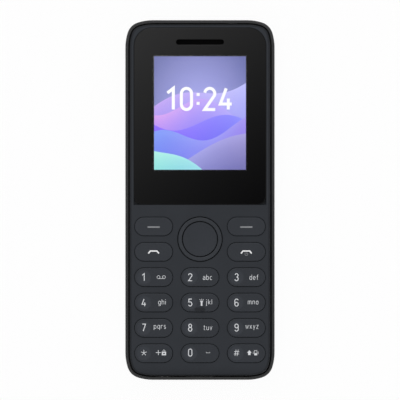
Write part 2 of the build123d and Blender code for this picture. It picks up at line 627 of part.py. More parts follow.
# Rear housing: a shelled tray of its own, with the battery bay sunk into it from the back
with BuildPart() as rear_housing:
    extrude(body_outline(REAR_INSET, REAR_INSET), amount=SPLIT_Z - REAR_INSET)
    fillet(rear_housing.faces().sort_by(Axis.Z)[0].edges(), COVER_BACK_ROUND - REAR_INSET)
    offset(amount=-HOUSING_WALL, openings=rear_housing.faces().sort_by(Axis.Z)[-1])
    bay_tub = rectangle(REAR_FLOOR_Z, (0, BATTERY_Y), BAY_WIDTH + 2 * BAY_WALL, BAY_LENGTH + 2 * BAY_WALL)
    extrude(bay_tub, amount=BAY_TOP_Z - REAR_FLOOR_Z)
    extrude(circles(REAR_FLOOR_Z, BOSS_PLACES, REAR_BOSS_RADIUS), amount=BOSS_Z - REAR_FLOOR_Z)
    with BuildSketch(Plane.YZ.offset(MOTOR_X)):
        with Locations((MOTOR_Y, REAR_FLOOR_Z + CRADLE_HEIGHT / 2)):
            Rectangle(CRADLE_WIDTH, CRADLE_HEIGHT)
        with Locations((MOTOR_Y, MOTOR_Z)):
            Circle(MOTOR_RADIUS + CRADLE_GAP, mode=Mode.SUBTRACT)
    extrude(amount=CRADLE_LENGTH / 2, both=True)
    bay = rectangle(0, (0, BATTERY_Y), BAY_WIDTH, BAY_LENGTH)
    extrude(bay, amount=BAY_CEILING_Z, mode=Mode.SUBTRACT)
    with BuildSketch(Plane.XY.offset(BAY_CEILING_Z)):
        with Locations((-SIM_X, SIM_Y), (SIM_X, SIM_Y)):
            Rectangle(SIM_WIDTH + 2 * SOCKET_WINDOW_GAP, SIM_LENGTH + 2 * SOCKET_WINDOW_GAP)
        with Locations((-SIM_X, MEMORY_Y)):
            Rectangle(MEMORY_WIDTH + 2 * SOCKET_WINDOW_GAP, MEMORY_LENGTH + 2 * SOCKET_WINDOW_GAP)
    extrude(amount=BAY_ROOF, mode=Mode.SUBTRACT)
    contact_opening = rectangle(
        BOARD_Z - CONNECTOR_HEIGHT - CONNECTOR_GAP,
        (0, BAY_TOP_Y + BAY_WALL / 2),
        CONNECTOR_WIDTH + 2 * CONNECTOR_GAP,
        BAY_WALL,
    )
    extrude(contact_opening, amount=CONNECTOR_HEIGHT, mode=Mode.SUBTRACT)
    sound_window = rectangle(
        0, (0, SPEAKER_Y), SPEAKER_WIDTH - 2 * GASKET_WIDTH, SPEAKER_LENGTH - 2 * GASKET_WIDTH
    )
    extrude(sound_window, amount=REAR_FLOOR_Z, mode=Mode.SUBTRACT)
    barrel_hole = circles(0, [(0, CAMERA_Y)], CAMERA_BARREL_RADIUS + CAMERA_HOLE_GAP)
    extrude(barrel_hole, amount=REAR_FLOOR_Z, mode=Mode.SUBTRACT)
    head_holes = circles(0, BOSS_PLACES, SCREW_HEAD_RADIUS + HEAD_GAP)
    extrude(head_holes, amount=SCREW_SEAT_Z, mode=Mode.SUBTRACT)
    shank_holes = circles(0, BOSS_PLACES, SCREW_RADIUS + HEAD_GAP)
    extrude(shank_holes, amount=BOSS_Z, mode=Mode.SUBTRACT)
    with BuildSketch(Plane.XZ.offset(-BOTTOM_WALL_Y - OVERRUN)):
        with Locations((-JACK_X, JACK_Z)):
            Circle(JACK_NOSE_RADIUS + JACK_NOSE_GAP)
        with Locations((0, USB_Z)):
            SlotOverall(USB_WIDTH + 2 * USB_GAP, USB_HEIGHT + 2 * USB_GAP)
        with Locations((MIC_X, MIC_Z)):
            Circle(MIC_PORT_RADIUS)
    extrude(amount=HOUSING_WALL + 2 * OVERRUN, mode=Mode.SUBTRACT)
    with BuildSketch(Plane.XZ.offset(OVERRUN - TOP_WALL_Y)):
        with Locations((TORCH_X, TORCH_Z)):
            Circle(TORCH_RADIUS + TORCH_HOLE_GAP)
    extrude(amount=-HOUSING_WALL - 2 * OVERRUN, mode=Mode.SUBTRACT)
    for side in (-1, 1):
        with BuildSketch(Plane.XY):
            with Locations((side * (WIDTH / 2 - CLIP_CHANNEL_INSET / 2), 0)):
                with GridLocations(0, CLIP_SPACING, 1, CLIPS_PER_SIDE):
                    Rectangle(CLIP_CHANNEL_INSET, CLIP_LENGTH + 2 * CLIP_GAP)
        extrude(amount=SPLIT_Z - CLIP_BELOW_SPLIT + CLIP_GAP, mode=Mode.SUBTRACT)
rear_housing.part.label = "rear_housing"
export_step(rear_housing.part, "parts/rear_housing.step")

# Front housing: the face with its curved chin, opened for the lens, the display and the keys
with BuildPart() as front_housing:
    extrude(body_outline(SPLIT_Z, FRONT_INSET), amount=FACE_Z - SPLIT_Z)
    with BuildSketch(Plane.YZ):
        with BuildLine():
            face_end = (LENGTH / 2, FACE_Z)
            chin_start = (-LENGTH / 2 + FRONT_INSET + CHIN_LENGTH, FACE_Z)
            chin_end = (-LENGTH / 2 + FRONT_INSET, FACE_Z - CHIN_DROP)
            Line(face_end, chin_start)
            TangentArc(chin_start, chin_end, tangent=(-1, 0))
            Polyline(chin_end, (chin_end[0], SPLIT_Z), (LENGTH / 2, SPLIT_Z), face_end)
        make_face()
    extrude(amount=WIDTH / 2, both=True, mode=Mode.INTERSECT)
    face_edges = front_housing.edges().filter_by_position(Axis.Z, FACE_UNDER_Z, FACE_Z)
    chin_crease = face_edges.filter_by(Axis.X).sort_by(Axis.Y)[1]
    fillet(face_edges.filter_by(lambda edge: not edge.is_same(chin_crease)), FACE_ROUND)
    extrude(body_outline(SPLIT_Z, FRONT_CAVITY_INSET), amount=LEDGE_Z - SPLIT_Z, mode=Mode.SUBTRACT)
    with BuildSketch(Plane.XY.offset(LEDGE_Z)):
        with Locations((0, (KEYPAD_CAVITY_TOP_Y + KEYPAD_CAVITY_BOTTOM_Y) / 2)):
            RectangleRounded(
                WIDTH - 2 * FRONT_CAVITY_INSET,
                KEYPAD_CAVITY_TOP_Y - KEYPAD_CAVITY_BOTTOM_Y,
                MEMBRANE_CORNER + MEMBRANE_INSET,
            )
    extrude(amount=FACE_UNDER_Z - LEDGE_Z, mode=Mode.SUBTRACT)
    extrude(body_outline(SPLIT_Z - LIP_DEPTH, REAR_CAVITY_INSET + LIP_GAP), amount=LIP_DEPTH)
    lip_opening = body_outline(SPLIT_Z - LIP_DEPTH, FRONT_CAVITY_INSET)
    extrude(lip_opening, amount=LIP_DEPTH, mode=Mode.SUBTRACT)
    extrude(circles(BOSS_Z, BOSS_PLACES, BOSS_RADIUS), amount=FACE_UNDER_Z - BOSS_Z)
    pilot_holes = circles(BOSS_Z, BOSS_PLACES, SCREW_RADIUS + SCREW_GAP)
    extrude(pilot_holes, amount=SCREW_BITE + HEAD_GAP, mode=Mode.SUBTRACT)
    lens_seat = lens_outline(LEDGE_TOP_Z, -LENS_GAP)
    extrude(lens_seat, amount=FACE_Z - LEDGE_TOP_Z, mode=Mode.SUBTRACT)
    display_opening = rectangle(LEDGE_Z, (0, DISPLAY_Y), OPENING_WIDTH, OPENING_HEIGHT)
    extrude(display_opening, amount=LEDGE_THICKNESS, mode=Mode.SUBTRACT)
    earpiece_opening = slots(LEDGE_Z, [(0, SLOT_Y)], SLOT_WIDTH, SLOT_HEIGHT)
    extrude(earpiece_opening, amount=LEDGE_THICKNESS, mode=Mode.SUBTRACT)
    key_holes = slots(FACE_UNDER_Z, KEY_CENTRES, KEY_WIDTH, KEY_HEIGHT)
    extrude(key_holes, amount=FACE_THICKNESS, mode=Mode.SUBTRACT)
    nav_hole = circles(FACE_UNDER_Z, [(0, NAV_Y)], NAV_OUTER_RADIUS + NAV_GAP)
    extrude(nav_hole, amount=FACE_THICKNESS, mode=Mode.SUBTRACT)
front_housing.part.label = "front_housing"
export_step(front_housing.part, "parts/front_housing.step")

# Lens: one plate over the display and the earpiece, flush with the face
with BuildPart() as display_lens:
    extrude(lens_outline(LENS_Z, 0), amount=LENS_THICKNESS)
    fillet(display_lens.faces().sort_by(Axis.Z)[-1].edges(), LENS_EDGE_ROUND)
    extrude(slots(LENS_Z, [(0, SLOT_Y)], SLOT_WIDTH, SLOT_HEIGHT), amount=LENS_THICKNESS, mode=Mode.SUBTRACT)
display_lens.part.label = "display_lens"
export_step(display_lens.part, "parts/display_lens.step")

# Lens adhesive: a thin frame, open over the display and round the earpiece mesh
with BuildPart() as lens_adhesive:
    extrude(lens_outline(LEDGE_TOP_Z, ADHESIVE_INSET), amount=ADHESIVE_THICKNESS)
    tape_opening = rectangle(LEDGE_TOP_Z, (0, DISPLAY_Y), OPENING_WIDTH, OPENING_HEIGHT)
    extrude(tape_opening, amount=ADHESIVE_THICKNESS, mode=Mode.SUBTRACT)
    mesh_opening = slots(
        LEDGE_TOP_Z, [(0, SLOT_Y)], MESH_WIDTH + 2 * SLOT_CLEARANCE, MESH_HEIGHT + 2 * SLOT_CLEARANCE
    )
    extrude(mesh_opening, amount=ADHESIVE_THICKNESS, mode=Mode.SUBTRACT)
lens_adhesive.part.label = "lens_adhesive"
export_step(lens_adhesive.part, "parts/lens_adhesive.step")

# Earpiece mesh: the dust cloth behind the slot
with BuildPart() as earpiece_mesh:
    extrude(slots(LEDGE_TOP_Z, [(0, SLOT_Y)], MESH_WIDTH, MESH_HEIGHT), amount=ADHESIVE_THICKNESS)
earpiece_mesh.part.label = "earpiece_mesh"
export_step(earpiece_mesh.part, "parts/earpiece_mesh.step")

# Earpiece: a flat receiver between the display module and the top wall
with BuildPart() as earpiece:
    with BuildSketch(Plane.XY.offset(LCD_Z)):
        with Locations((0, EARPIECE_Y)):
            RectangleRounded(EARPIECE_LENGTH, EARPIECE_DEPTH, EARPIECE_ROUND)
    extrude(amount=LCD_THICKNESS)
    with BuildSketch(Plane.XY.offset(LCD_Z + LCD_THICKNESS - EARPIECE_CONE_DEPTH)):
        with Locations((0, EARPIECE_Y)):
            SlotOverall(EARPIECE_LENGTH - 2 * EARPIECE_ROUND, EARPIECE_DEPTH - 2 * EARPIECE_ROUND)
    extrude(amount=EARPIECE_CONE_DEPTH, mode=Mode.SUBTRACT)
earpiece.part.label = "earpiece"
export_step(earpiece.part, "parts/earpiece.step")

# Display frame: a pressed tray that holds the panel
with BuildPart() as lcd_frame:
    extrude(rectangle(LCD_Z, (0, PANEL_Y), LCD_FRAME_WIDTH, LCD_FRAME_HEIGHT), amount=LCD_FRAME_DEPTH)
    panel_pocket = rectangle(
        LCD_Z + LCD_FRAME_FLOOR,
        (0, PANEL_Y),
        PANEL_WIDTH + 2 * LCD_CLEARANCE,
        PANEL_HEIGHT + 2 * LCD_CLEARANCE,
    )
    extrude(panel_pocket, amount=LCD_FRAME_DEPTH, mode=Mode.SUBTRACT)
lcd_frame.part.label = "lcd_frame"
export_step(lcd_frame.part, "parts/lcd_frame.step")

# Display panel: the glass with its backlight
with BuildPart() as lcd_panel:
    panel = rectangle(LCD_Z + LCD_FRAME_FLOOR, (0, PANEL_Y), PANEL_WIDTH, PANEL_HEIGHT)
    extrude(panel, amount=LCD_THICKNESS - LCD_FRAME_FLOOR)
lcd_panel.part.label = "lcd_panel"
export_step(lcd_panel.part, "parts/lcd_panel.step")

# Display flex: its flat tail, between the display frame and the board
with BuildPart() as lcd_flex:
    flex_length = FLEX_OUTSIDE + FLEX_INSIDE
    tail = rectangle(
        BOARD_TOP_Z, (0, LCD_FRAME_BOTTOM_Y - FLEX_OUTSIDE + flex_length / 2), FLEX_WIDTH, flex_length
    )
    extrude(tail, amount=LCD_BOARD_GAP)
lcd_flex.part.label = "lcd_flex"
export_step(lcd_flex.part, "parts/lcd_flex.step")


def keycap(name):
    """One key: its rounded cap, the flange that holds it in the housing, and its plunger."""
    centre = KEY_PLACES[name]
    with BuildPart() as key:
        extrude(slots(FLANGE_Z, [centre], CAP_WIDTH, CAP_HEIGHT), amount=KEY_TOP_Z - FLANGE_Z)
        fillet(key.faces().sort_by(Axis.Z)[-1].edges(), KEY_EDGE_ROUND)
        flange = slots(FLANGE_Z, [centre], CAP_WIDTH + 2 * KEY_FLANGE, CAP_HEIGHT + 2 * KEY_FLANGE)
        extrude(flange, amount=KEY_FLANGE_THICKNESS)
        extrude(circles(PLUNGER_Z, [centre], PLUNGER_RADIUS), amount=FLANGE_Z - PLUNGER_Z)
        if name in DISHED_KEYS:
            with Locations((centre[0] - DISH_SHIFT, centre[1], KEY_TOP_Z + DISH_SPHERE - DISH_DEPTH)):
                Sphere(DISH_SPHERE, mode=Mode.SUBTRACT)
        if name == "key_5":
            marker_place = (centre[0], centre[1] - CAP_HEIGHT / 2 + MARKER_FROM_EDGE)
            marker = slots(KEY_TOP_Z - MARKER_SINK, [marker_place], MARKER_WIDTH, MARKER_HEIGHT)
            extrude(marker, amount=MARKER_SINK + MARKER_RISE)
    key.part.label = name
    export_step(key.part, f"parts/{name}.step")


for key_name in KEY_PLACES:
    keycap(key_name)

# Navigation ring: a turned ring that rocks four ways, with a flange under the face
with BuildPart() as nav_ring:
    with BuildSketch(Plane.XZ.offset(-NAV_Y)):
        with BuildLine():
            Polyline(
                (RING_BORE_RADIUS, NAV_RING_Z),
                (RING_FLANGE_RADIUS, NAV_RING_Z),
                (RING_FLANGE_RADIUS, NAV_FLANGE_TOP_Z),
                (RING_RADIUS, NAV_FLANGE_TOP_Z),
                (RING_RADIUS, FACE_Z + NAV_PROUD),
                (RING_BORE_RADIUS, FACE_Z + NAV_PROUD),
                close=True,
            )
        make_face()
    revolve(axis=NAV_AXIS)
    fillet(nav_ring.faces().sort_by(Axis.Z)[-1].edges(), NAV_EDGE_ROUND)
nav_ring.part.label = "nav_ring"
export_step(nav_ring.part, "parts/nav_ring.step")

# Navigation pad: the silicone ring that rocks under it, with a nub over each dome
with BuildPart() as nav_pad:
    nav_centre = [(0, NAV_Y)]
    extrude(circles(NAV_PAD_Z, nav_centre, PAD_BORE_RADIUS + NAV_PAD_WIDTH), amount=NAV_PAD_THICKNESS)
    extrude(circles(NAV_PAD_Z, nav_centre, PAD_BORE_RADIUS), amount=NAV_PAD_THICKNESS, mode=Mode.SUBTRACT)
    with BuildSketch(Plane.XY.offset(NAV_PAD_Z - NAV_NUB_HEIGHT)):
        with Locations((0, NAV_Y)):
            with PolarLocations(NAV_DOME_RING, 4):
                Circle(NAV_NUB_RADIUS)
    extrude(amount=NAV_NUB_HEIGHT)
nav_pad.part.label = "nav_pad"
export_step(nav_pad.part, "parts/nav_pad.step")

# Centre key: a dished cap with a hollow underside, a flange under the ring, and a plunger
with BuildPart() as ok_key:
    with BuildSketch(Plane.XZ.offset(-NAV_Y)):
        with BuildLine():
            Polyline(
                (0, PLUNGER_Z),
                (PLUNGER_RADIUS, PLUNGER_Z),
                (PLUNGER_RADIUS, OK_TOP_Z - OK_CAP_THICKNESS),
                (OK_RADIUS - OK_RIM_WIDTH, OK_TOP_Z - OK_CAP_THICKNESS),
                (OK_RADIUS - OK_RIM_WIDTH, OK_FLANGE_Z),
                (OK_FLANGE_RADIUS, OK_FLANGE_Z),
                (OK_FLANGE_RADIUS, OK_FLANGE_TOP_Z),
                (OK_RADIUS, OK_FLANGE_TOP_Z),
                (OK_RADIUS, OK_TOP_Z),
                (0, OK_TOP_Z),
                close=True,
            )
        make_face()
    revolve(axis=NAV_AXIS)
    with Locations((0, NAV_Y, OK_TOP_Z + OK_SPHERE - OK_DISH_DEPTH)):
        Sphere(OK_SPHERE, mode=Mode.SUBTRACT)
ok_key.part.label = "ok_key"
export_step(ok_key.part, "parts/ok_key.step")

# Keypad membrane: a sheet with a skirt that stands on the dome film
with BuildPart() as keypad_membrane:
    with BuildSketch(Plane.XY.offset(BOARD_TOP_Z + DOME_FILM)):
        with Locations((0, MEMBRANE_Y)):
            RectangleRounded(MEMBRANE_WIDTH, MEMBRANE_HEIGHT, MEMBRANE_CORNER)
    extrude(amount=MEMBRANE_TOP_Z - BOARD_TOP_Z - DOME_FILM)
    with BuildSketch(Plane.XY.offset(BOARD_TOP_Z + DOME_FILM)):
        with Locations((0, MEMBRANE_Y)):
            RectangleRounded(
                MEMBRANE_WIDTH - 2 * MEMBRANE_SKIRT,
                MEMBRANE_HEIGHT - 2 * MEMBRANE_SKIRT,
                MEMBRANE_CORNER - MEMBRANE_SKIRT,
            )
    extrude(amount=MEMBRANE_Z - BOARD_TOP_Z - DOME_FILM, mode=Mode.SUBTRACT)
    plunger_holes = circles(MEMBRANE_Z, KEY_CENTRES, PLUNGER_RADIUS + MEMBRANE_HOLE_GAP)
    extrude(plunger_holes, amount=MEMBRANE_THICKNESS, mode=Mode.SUBTRACT)
    nav_opening = circles(MEMBRANE_Z, [(0, NAV_Y)], RING_FLANGE_RADIUS + NAV_OPENING_GAP)
    extrude(nav_opening, amount=MEMBRANE_THICKNESS, mode=Mode.SUBTRACT)
keypad_membrane.part.label = "keypad_membrane"
export_step(keypad_membrane.part, "parts/keypad_membrane.step")

# Dome film: the spacer on the board, open round each dome and each light
with BuildPart() as dome_film:
    with BuildSketch(Plane.XY.offset(BOARD_TOP_Z)):
        with Locations((0, MEMBRANE_Y)):
            RectangleRounded(MEMBRANE_WIDTH, MEMBRANE_HEIGHT, MEMBRANE_CORNER)
        with Locations(*DOME_PLACES):
            Circle(DOME_RADIUS + DOME_FILM_GAP, mode=Mode.SUBTRACT)
        with Locations((0, LIGHT_Y)):
            with GridLocations(COLUMN_PITCH, 2 * ROW_PITCH, 2, 2):
                Rectangle(LIGHT_LENGTH + 2 * LIGHT_GAP, LIGHT_WIDTH + 2 * LIGHT_GAP, mode=Mode.SUBTRACT)
    extrude(amount=DOME_FILM)
dome_film.part.label = "dome_film"
export_step(dome_film.part, "parts/dome_film.step")

# Key domes: the pressed steel domes of the keys, the ring and the centre key
with BuildPart() as key_domes:
    with Locations(*[(x, y, BOARD_TOP_Z) for x, y in DOME_PLACES]):
        Cone(DOME_RADIUS, DOME_TOP_RADIUS, DOME_HEIGHT, align=(Align.CENTER, Align.CENTER, Align.MIN))
key_domes.part.label = "key_domes"
export_step(key_domes.part, "parts/key_domes.step")

# Keypad lights: small lamps on the board between the keys
with BuildPart() as keypad_lights:
    with BuildSketch(Plane.XY.offset(BOARD_TOP_Z)):
        with Locations((0, LIGHT_Y)):
            with GridLocations(COLUMN_PITCH, 2 * ROW_PITCH, 2, 2):
                Rectangle(LIGHT_LENGTH, LIGHT_WIDTH)
    extrude(amount=LIGHT_HEIGHT)
keypad_lights.part.label = "keypad_lights"
export_step(keypad_lights.part, "parts/keypad_lights.step")

# Main board, with holes for the housing's bosses
with BuildPart() as main_board:
    extrude(body_outline(BOARD_Z, BOARD_INSET), amount=BOARD_THICKNESS)
    boss_holes = circles(BOARD_Z, BOSS_PLACES, BOSS_RADIUS + BOARD_HOLE_GAP)
    extrude(boss_holes, amount=BOARD_THICKNESS, mode=Mode.SUBTRACT)
main_board.part.label = "main_board"
export_step(main_board.part, "parts/main_board.step")

# Shield cans on the back of the board, over the battery bay and over the loudspeaker
with BuildPart() as shield_cans:
    for can_centre, can_width, can_length in CAN_SIZES:
        with BuildSketch(Plane.XY.offset(BOARD_Z - CAN_HEIGHT)):
            with Locations(can_centre):
                RectangleRounded(can_width, can_length, CAN_CORNER)
        extrude(amount=CAN_HEIGHT)
        with BuildSketch(Plane.XY.offset(BOARD_Z - CAN_HEIGHT + CAN_WALL)):
            with Locations(can_centre):
                RectangleRounded(can_width - 2 * CAN_WALL, can_length - 2 * CAN_WALL, CAN_CORNER - CAN_WALL)
        extrude(amount=CAN_HEIGHT - CAN_WALL, mode=Mode.SUBTRACT)
shield_cans.part.label = "shield_cans"
export_step(shield_cans.part, "parts/shield_cans.step")

# Card sockets: pressed shells, open at one end for the card
with BuildPart() as sim_sockets:
    with BuildSketch(Plane.XY.offset(BOARD_Z - SIM_HEIGHT)):
        with Locations((-SIM_X, SIM_Y), (SIM_X, SIM_Y)):
            Rectangle(SIM_WIDTH, SIM_LENGTH)
    extrude(amount=SIM_HEIGHT)
    with BuildSketch(Plane.XY.offset(BOARD_Z - SIM_HEIGHT + SIM_ROOF)):
        with Locations((-SIM_X, SIM_Y - SIM_ROOF), (SIM_X, SIM_Y - SIM_ROOF)):
            Rectangle(SIM_CARD_WIDTH, SIM_LENGTH)
    extrude(amount=SIM_CARD_HEIGHT, mode=Mode.SUBTRACT)
sim_sockets.part.label = "sim_sockets"
export_step(sim_sockets.part, "parts/sim_sockets.step")

with BuildPart() as memory_card_socket:
    socket = rectangle(BOARD_Z - SIM_HEIGHT, (-SIM_X, MEMORY_Y), MEMORY_WIDTH, MEMORY_LENGTH)
    extrude(socket, amount=SIM_HEIGHT)
    card_slot = rectangle(
        BOARD_Z - SIM_HEIGHT + SIM_ROOF,
        (-SIM_X, MEMORY_Y + SIM_ROOF),
        MEMORY_CARD_WIDTH,
        MEMORY_LENGTH,
    )
    extrude(card_slot, amount=SIM_CARD_HEIGHT, mode=Mode.SUBTRACT)
memory_card_socket.part.label = "memory_card_socket"
export_step(memory_card_socket.part, "parts/memory_card_socket.step")

# Battery connector and its spring contacts, at the top end of the bay
with BuildPart() as battery_contacts:
    with BuildSketch(Plane.XZ.offset(-BATTERY_TOP_Y - CONTACT_GAP)):
        with Locations((0, CONTACT_Z)):
            with GridLocations(CONTACT_PITCH, 0, CONTACT_COUNT, 1):
                Rectangle(CONTACT_WIDTH, CONTACT_HEIGHT)
    extrude(amount=-CONTACT_LENGTH)
battery_contacts.part.label = "battery_contacts"
export_step(battery_contacts.part, "parts/battery_contacts.step")

with BuildPart() as battery_connector:
    block = rectangle(
        BOARD_Z - CONNECTOR_HEIGHT,
        (0, BAY_TOP_Y + CONNECTOR_GAP + CONNECTOR_DEPTH / 2),
        CONNECTOR_WIDTH,
        CONNECTOR_DEPTH,
    )
    extrude(block, amount=CONNECTOR_HEIGHT)
    with BuildSketch(Plane.XZ.offset(-BATTERY_TOP_Y - CONTACT_GAP)):
        with Locations((0, CONTACT_Z)):
            with GridLocations(CONTACT_PITCH, 0, CONTACT_COUNT, 1):
                Rectangle(CONTACT_WIDTH + 2 * CONTACT_FIT, CONTACT_HEIGHT + 2 * CONTACT_FIT)
    extrude(amount=-CONTACT_LENGTH - CONTACT_FIT, mode=Mode.SUBTRACT)
battery_connector.part.label = "battery_connector"
export_step(battery_connector.part, "parts/battery_connector.step")

# Battery: the wrapped cell, its end cap and the pads in the cap
with BuildPart() as battery_cell:
    cell = rectangle(
        BATTERY_Z, (0, BATTERY_Y - BATTERY_CAP_LENGTH / 2), BATTERY_WIDTH, BATTERY_LENGTH - BATTERY_CAP_LENGTH
    )
    extrude(cell, amount=BATTERY_THICKNESS)
    fillet(battery_cell.edges().filter_by(Axis.Y), BATTERY_EDGE_ROUND)
battery_cell.part.label = "battery_cell"
export_step(battery_cell.part, "parts/battery_cell.step")

with BuildPart() as battery_cap:
    cap = rectangle(
        BATTERY_Z, (0, BATTERY_TOP_Y - BATTERY_CAP_LENGTH / 2), BATTERY_WIDTH, BATTERY_CAP_LENGTH
    )
    extrude(cap, amount=BATTERY_THICKNESS)
    fillet(battery_cap.edges().filter_by(Axis.Y), BATTERY_EDGE_ROUND)
    with BuildSketch(Plane.XZ.offset(-BATTERY_TOP_Y)):
        with Locations((0, CONTACT_Z)):
            with GridLocations(CONTACT_PITCH, 0, CONTACT_COUNT, 1):
                Rectangle(BATTERY_PAD_WIDTH + 2 * CONTACT_FIT, BATTERY_PAD_HEIGHT + 2 * CONTACT_FIT)
    extrude(amount=BATTERY_PAD_DEPTH, mode=Mode.SUBTRACT)
battery_cap.part.label = "battery_cap"
export_step(battery_cap.part, "parts/battery_cap.step")

with BuildPart() as battery_pads:
    with BuildSketch(Plane.XZ.offset(BATTERY_PAD_DEPTH - BATTERY_TOP_Y)):
        with Locations((0, CONTACT_Z)):
            with GridLocations(CONTACT_PITCH, 0, CONTACT_COUNT, 1):
                Rectangle(BATTERY_PAD_WIDTH, BATTERY_PAD_HEIGHT)
    extrude(amount=-BATTERY_PAD_DEPTH / 2)
battery_pads.part.label = "battery_pads"
export_step(battery_pads.part, "parts/battery_pads.step")

# Loudspeaker, its gasket on the housing's floor, and the dust mesh inside the cover
with BuildPart() as speaker_gasket:
    with BuildSketch(Plane.XY.offset(REAR_FLOOR_Z)):
        with Locations((0, SPEAKER_Y)):
            RectangleRounded(SPEAKER_WIDTH, SPEAKER_LENGTH, SPEAKER_ROUND)
            RectangleRounded(
                SPEAKER_WIDTH - 2 * GASKET_WIDTH,
                SPEAKER_LENGTH - 2 * GASKET_WIDTH,
                SPEAKER_ROUND - GASKET_WIDTH,
                mode=Mode.SUBTRACT,
            )
    extrude(amount=GASKET_THICKNESS)
speaker_gasket.part.label = "speaker_gasket"
export_step(speaker_gasket.part, "parts/speaker_gasket.step")

with BuildPart() as loudspeaker:
    with BuildSketch(Plane.XY.offset(REAR_FLOOR_Z + GASKET_THICKNESS)):
        with Locations((0, SPEAKER_Y)):
            RectangleRounded(SPEAKER_WIDTH, SPEAKER_LENGTH, SPEAKER_ROUND)
    extrude(amount=SPEAKER_HEIGHT)
    with BuildSketch(Plane.XY.offset(REAR_FLOOR_Z + GASKET_THICKNESS)):
        with Locations((0, SPEAKER_Y)):
            RectangleRounded(
                SPEAKER_WIDTH - 2 * SPEAKER_CONE_MARGIN,
                SPEAKER_LENGTH - 2 * SPEAKER_CONE_MARGIN,
                SPEAKER_ROUND - SPEAKER_CONE_MARGIN,
            )
    extrude(amount=SPEAKER_CONE_DEPTH, mode=Mode.SUBTRACT)
loudspeaker.part.label = "loudspeaker"
export_step(loudspeaker.part, "parts/loudspeaker.step")

with BuildPart() as speaker_mesh:
    mesh = rectangle(COVER_WALL, (0, SPEAKER_Y), DUST_MESH_WIDTH, DUST_MESH_HEIGHT)
    extrude(mesh, amount=DUST_MESH_THICKNESS)
speaker_mesh.part.label = "speaker_mesh"
export_step(speaker_mesh.part, "parts/speaker_mesh.step")

# Rear camera, its lens, and the window in the battery cover
with BuildPart() as camera_module:
    body = rectangle(CAMERA_Z, (0, CAMERA_Y), CAMERA_SIZE, CAMERA_SIZE)
    extrude(body, amount=CAMERA_HEIGHT)
    extrude(circles(BARREL_Z, [(0, CAMERA_Y)], CAMERA_BARREL_RADIUS), amount=CAMERA_Z - BARREL_Z)
    bore = circles(BARREL_Z, [(0, CAMERA_Y)], CAMERA_BORE_RADIUS)
    extrude(bore, amount=CAMERA_BORE_DEPTH, mode=Mode.SUBTRACT)
camera_module.part.label = "camera_module"
export_step(camera_module.part, "parts/camera_module.step")

with BuildPart() as camera_lens:
    lens_z = BARREL_Z + CAMERA_BORE_DEPTH - CAMERA_LENS_THICKNESS
    disc = circles(lens_z, [(0, CAMERA_Y)], CAMERA_BORE_RADIUS - CAMERA_LENS_GAP)
    extrude(disc, amount=CAMERA_LENS_THICKNESS)
camera_lens.part.label = "camera_lens"
export_step(camera_lens.part, "parts/camera_lens.step")

with BuildPart() as camera_window:
    extrude(circles(WINDOW_RECESS, [(0, CAMERA_Y)], WINDOW_RADIUS), amount=WINDOW_THICKNESS)
camera_window.part.label = "camera_window"
export_step(camera_window.part, "parts/camera_window.step")

# Torch lamp on the board, and its lens in the top wall
with BuildPart() as torch_led:
    led_front_y = LENGTH / 2 - BOARD_INSET
    led = rectangle(BOARD_Z - LED_HEIGHT, (TORCH_X, led_front_y - LED_DEPTH / 2), LED_WIDTH, LED_DEPTH)
    extrude(led, amount=LED_HEIGHT)
    with BuildSketch(Plane.XZ.offset(-led_front_y)):
        with Locations((TORCH_X, BOARD_Z - LED_HEIGHT / 2)):
            Circle(LED_LENS_RADIUS)
    extrude(amount=-LED_LENS_LENGTH)
torch_led.part.label = "torch_led"
export_step(torch_led.part, "parts/torch_led.step")

with BuildPart() as torch_lens:
    with BuildSketch(Plane.XZ.offset(-TOP_WALL_Y)):
        with Locations((TORCH_X, TORCH_Z)):
            Circle(TORCH_RADIUS)
    extrude(amount=-HOUSING_WALL)
    with BuildSketch(Plane.XZ.offset(-TOP_WALL_Y)):
        with Locations((TORCH_X, TORCH_Z)):
            Circle(TORCH_RADIUS + TORCH_FLANGE)
    extrude(amount=TORCH_FLANGE_THICKNESS)
torch_lens.part.label = "torch_lens"
export_step(torch_lens.part, "parts/torch_lens.step")

# Aerial: a slit foil on a moulded carrier
with BuildPart() as aerial_carrier:
    carrier = rectangle(REAR_FLOOR_Z, (CARRIER_X, CARRIER_Y), CARRIER_WIDTH, CARRIER_DEPTH)
    extrude(carrier, amount=CARRIER_HEIGHT)
aerial_carrier.part.label = "aerial_carrier"
export_step(aerial_carrier.part, "parts/aerial_carrier.step")

with BuildPart() as aerial_foil:
    foil_z = REAR_FLOOR_Z + CARRIER_HEIGHT
    foil = rectangle(foil_z, (CARRIER_X, CARRIER_Y), FOIL_WIDTH, CARRIER_DEPTH - 2 * FOIL_MARGIN)
    extrude(foil, amount=FOIL_THICKNESS)
    slit = rectangle(foil_z, (CARRIER_X + FOIL_MARGIN, CARRIER_Y), FOIL_WIDTH, FOIL_SLIT)
    extrude(slit, amount=FOIL_THICKNESS, mode=Mode.SUBTRACT)
aerial_foil.part.label = "aerial_foil"
export_step(aerial_foil.part, "parts/aerial_foil.step")

